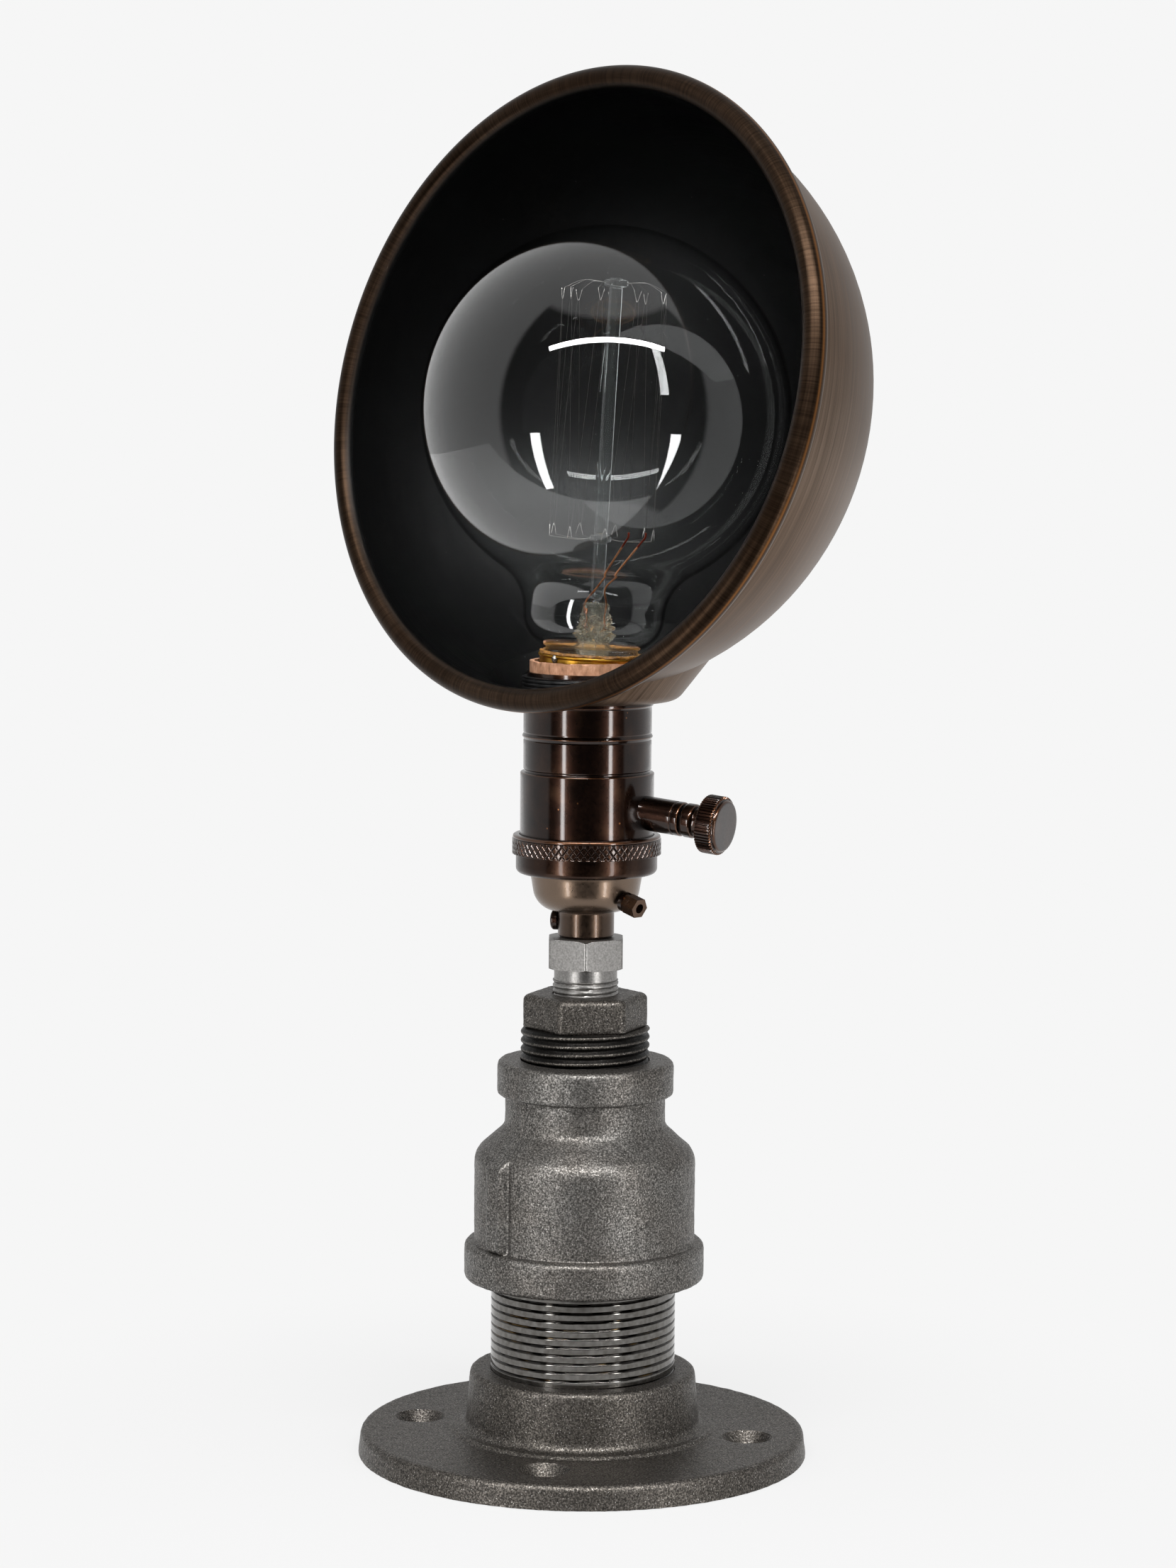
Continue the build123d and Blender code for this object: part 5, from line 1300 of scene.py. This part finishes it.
# plain nodes keep their shapes and get finishes
nodeFinish = {
    "set_screw": "bronze", "earth_stud": "bronze", "earth_post": "wornBronze",
    "lamp_tube": "zinc", "knob_shaft": "zinc",
    "switch_body": "phenolic", "socket_insulator": "phenolic", "switch_rotor": "phenolic",
    "base_insulator": "phenolic", "terminal_screws": "brass", "screw_shell": "brass",
              "centre_contact": "brass",
    "contact_tip": "solder",
}
for nodeName, key in nodeFinish.items():
    nodes[nodeName].data.materials.clear()
    nodes[nodeName].data.materials.append(finish[key])


# floor, light and camera
studio = {"backdrop": "#f6f6f6", "worldDiffuse": 0.32, "tent": 0.65, "opening": 0.03, "openingSide": 69,
          "openingHigh": 60, "openingLow": -70, "openingSoft": 2, "tableFront": 0.21, "tableBack": -2,
          "tableSide": 1,
          "table": "#c6c6c6", "shadowNear": 0.05, "shadowFar": 0.20, "plainNear": 0.85}
# each tube looks at a height on the lamp's axis from its reach, all in metres
sideTube = {"turn": 41, "reach": 0.29, "middle": 0.11, "width": 0.031, "height": 0.21, "light": 17.0}
topTube = {"rises": (43.9, 45.1, 46.3), "reach": 1.3, "middle": 0.25, "width": 1.64, "height": 0.015,
           "light": 140.0}
# lens and frame height are in the picture's pixels
cameraSet = {"turn": 43.39, "tilt": 5.866, "roll": 0.456, "place": (0.71998, -0.76130, 0.2828), "lens": 5771,
             "frame": (1659, 2212), "sensor": 36}
cameraTurn = math.radians(cameraSet["turn"])
cameraSide = Vector((math.sin(cameraTurn), -math.cos(cameraTurn), 0))
cameraRight = Vector((math.cos(cameraTurn), math.sin(cameraTurn), 0))


def makeWorld():
    # white tent with a dark opening in front, where the camera stands
    world = bpy.data.worlds.new("studio")
    bpy.context.scene.world = world
    world.use_nodes = True
    tree = world.node_tree
    back = tree.nodes["Background"]
    spot = addNode(tree, "ShaderNodeTexCoord").outputs["Generated"]
    toward = addNode(tree, "ShaderNodeVectorMath", {"operation": "DOT_PRODUCT", 1: cameraSide}, {0: spot})
    across = addNode(tree, "ShaderNodeVectorMath", {"operation": "DOT_PRODUCT", 1: cameraRight}, {0: spot})
    azimuth = addNode(tree, "ShaderNodeMath", {"operation": "ARCTAN2"},
                      {0: across.outputs["Value"], 1: toward.outputs["Value"]})
    aside = addNode(tree, "ShaderNodeMath", {"operation": "ABSOLUTE"}, {0: azimuth.outputs[0]})
    height = addNode(tree, "ShaderNodeSeparateXYZ", links={0: spot}).outputs["Z"]
    soft = studio["openingSoft"]
    sideEdge = [math.radians(studio["openingSide"] + s) for s in (-soft, soft)]
    highEdge = [math.sin(math.radians(studio["openingHigh"] + s)) for s in (-soft, soft)]
    lowEdge = [math.sin(math.radians(studio["openingLow"] + s)) for s in (soft, -soft)]
    edges = []
    for source, (inside, outside) in ((aside.outputs[0], sideEdge), (height, highEdge), (height, lowEdge)):
        fade = addNode(tree, "ShaderNodeMapRange",
                       {"From Min": inside, "From Max": outside, "To Min": 1.0, "To Max": 0.0},
                       {"Value": source})
        edges.append(fade.outputs["Result"])
    both = addNode(tree, "ShaderNodeMath", {"operation": "MULTIPLY"}, {0: edges[0], 1: edges[1]})
    hole = addNode(tree, "ShaderNodeMath", {"operation": "MULTIPLY"}, {0: both.outputs[0], 1: edges[2]})
    tent = addNode(tree, "ShaderNodeMix", {"data_type": "FLOAT", 2: studio["tent"], 3: studio["opening"]},
                   {0: hole.outputs[0]})
    path = addNode(tree, "ShaderNodeLightPath")
    mirrored = addNode(tree, "ShaderNodeMath", {"operation": "GREATER_THAN", 1: 0.5},
                       {0: path.outputs["Glossy Depth"]})
    through = addNode(tree, "ShaderNodeMath", {"operation": "SUBTRACT", "use_clamp": True},
                      {0: path.outputs["Is Transmission Ray"], 1: mirrored.outputs[0]})
    seen = addNode(tree, "ShaderNodeMath", {"operation": "MAXIMUM"},
                   {0: path.outputs["Is Camera Ray"], 1: through.outputs[0]})
    plain = addNode(tree, "ShaderNodeMix", {"data_type": "FLOAT", 2: studio["worldDiffuse"]},
                    {0: mirrored.outputs[0], 3: tent.outputs[0]})
    level = addNode(tree, "ShaderNodeMix", {"data_type": "FLOAT", 3: 1.0},
                    {0: seen.outputs[0], 2: plain.outputs[0]})
    back.inputs["Color"].default_value = linear(studio["backdrop"])
    tree.links.new(level.outputs[0], back.inputs["Strength"])


def makeFloor():
    mesh = bpy.data.meshes.new("floor")
    front, back, side = studio["tableFront"], studio["tableBack"], studio["tableSide"]
    corners = [cameraSide * toward + cameraRight * across
               for toward, across in ((front, -side), (front, side), (back, side), (back, -side))]
    mesh.from_pydata([tuple(c) for c in corners], [], [(0, 1, 2, 3)])
    floor = bpy.data.objects.new("floor", mesh)
    bpy.context.scene.collection.objects.link(floor)
    floor.location.z = -0.0002
    material = bpy.data.materials.new("paleFloor")
    material.use_nodes = True
    tree = material.node_tree
    shader = tree.nodes["Principled BSDF"]
    shader.inputs["Base Color"].default_value = linear(studio["table"])
    shader.inputs["Roughness"].default_value = 0.9
    shader.inputs["Specular IOR Level"].default_value = 0.0
    glow = addNode(tree, "ShaderNodeEmission", {"Color": linear(studio["backdrop"])})
    spot = addNode(tree, "ShaderNodeTexCoord").outputs["Object"]
    away = addNode(tree, "ShaderNodeVectorMath", {"operation": "LENGTH"}, {0: spot})
    # the floor keeps the shadow near the lamp and fades into the backdrop
    share = addNode(tree, "ShaderNodeMapRange",
                    {"From Min": studio["shadowNear"], "From Max": studio["shadowFar"],
                     "To Min": studio["plainNear"],
                     "To Max": 1.0, "interpolation_type": "SMOOTHSTEP"}, {"Value": away.outputs["Value"]})
    path = addNode(tree, "ShaderNodeLightPath")
    seen = addNode(tree, "ShaderNodeMath", {"operation": "MAXIMUM"},
                   {0: path.outputs["Is Camera Ray"], 1: path.outputs["Is Transmission Ray"]})
    shown = addNode(tree, "ShaderNodeMath", {"operation": "MAXIMUM"},
                    {0: seen.outputs[0], 1: path.outputs["Is Glossy Ray"]})
    lit = addNode(tree, "ShaderNodeMath", {"operation": "MULTIPLY"},
                  {0: share.outputs["Result"], 1: shown.outputs[0]})
    both = addNode(tree, "ShaderNodeMixShader",
                   links={0: lit.outputs[0], 1: shader.outputs[0], 2: glow.outputs[0]})
    tree.links.new(both.outputs[0], tree.nodes["Material Output"].inputs["Surface"])
    mesh.materials.append(material)


def addStrip(name, turn, rise, tube):
    # soft strip lamp of a given brightness that looks at a point on the lamp's axis
    data = bpy.data.lights.new(name, "AREA")
    data.shape = "RECTANGLE"
    data.size = tube["width"]
    data.size_y = tube["height"]
    data.energy = tube["light"] * math.pi * tube["width"] * tube["height"]
    lamp = bpy.data.objects.new(name, data)
    bpy.context.scene.collection.objects.link(lamp)
    around = cameraTurn - math.pi / 2 + math.radians(turn)
    up = math.radians(rise)
    out = Vector((math.cos(around) * math.cos(up), math.sin(around) * math.cos(up), math.sin(up)))
    lamp.location = Vector((0, 0, tube["middle"])) + out * tube["reach"]
    lamp.rotation_euler = (-out).to_track_quat("-Z", "Y").to_euler()
    lamp.visible_camera = False


def makeLights():
    # two tubes stand close by, three thin ones hang above the camera
    for name, way in (("tubeLeft", -1), ("tubeRight", 1)):
        addStrip(name, way * sideTube["turn"], 0, sideTube)
    for index, rise in enumerate(topTube["rises"]):
        addStrip(f"tubeTop{index}", 0, rise, topTube)


def makeCamera():
    c = cameraSet
    wide, tall = c["frame"]
    data = bpy.data.cameras.new("camera")
    data.sensor_fit = "VERTICAL"
    data.sensor_height = c["sensor"]
    data.sensor_width = c["sensor"] * wide / tall
    data.lens = c["lens"] / tall * c["sensor"]
    camera = bpy.data.objects.new("camera", data)
    bpy.context.scene.collection.objects.link(camera)
    view = Euler((math.radians(90 - c["tilt"]), 0, cameraTurn)).to_matrix()
    view = view @ Matrix.Rotation(math.radians(c["roll"]), 3, "Z")
    camera.matrix_world = Matrix.Translation(c["place"]) @ view.to_4x4()
    bpy.context.scene.camera = camera


makeWorld()
makeFloor()
makeLights()
makeCamera()
bpy.context.scene.view_settings.view_transform = "Standard"
print("studio made")
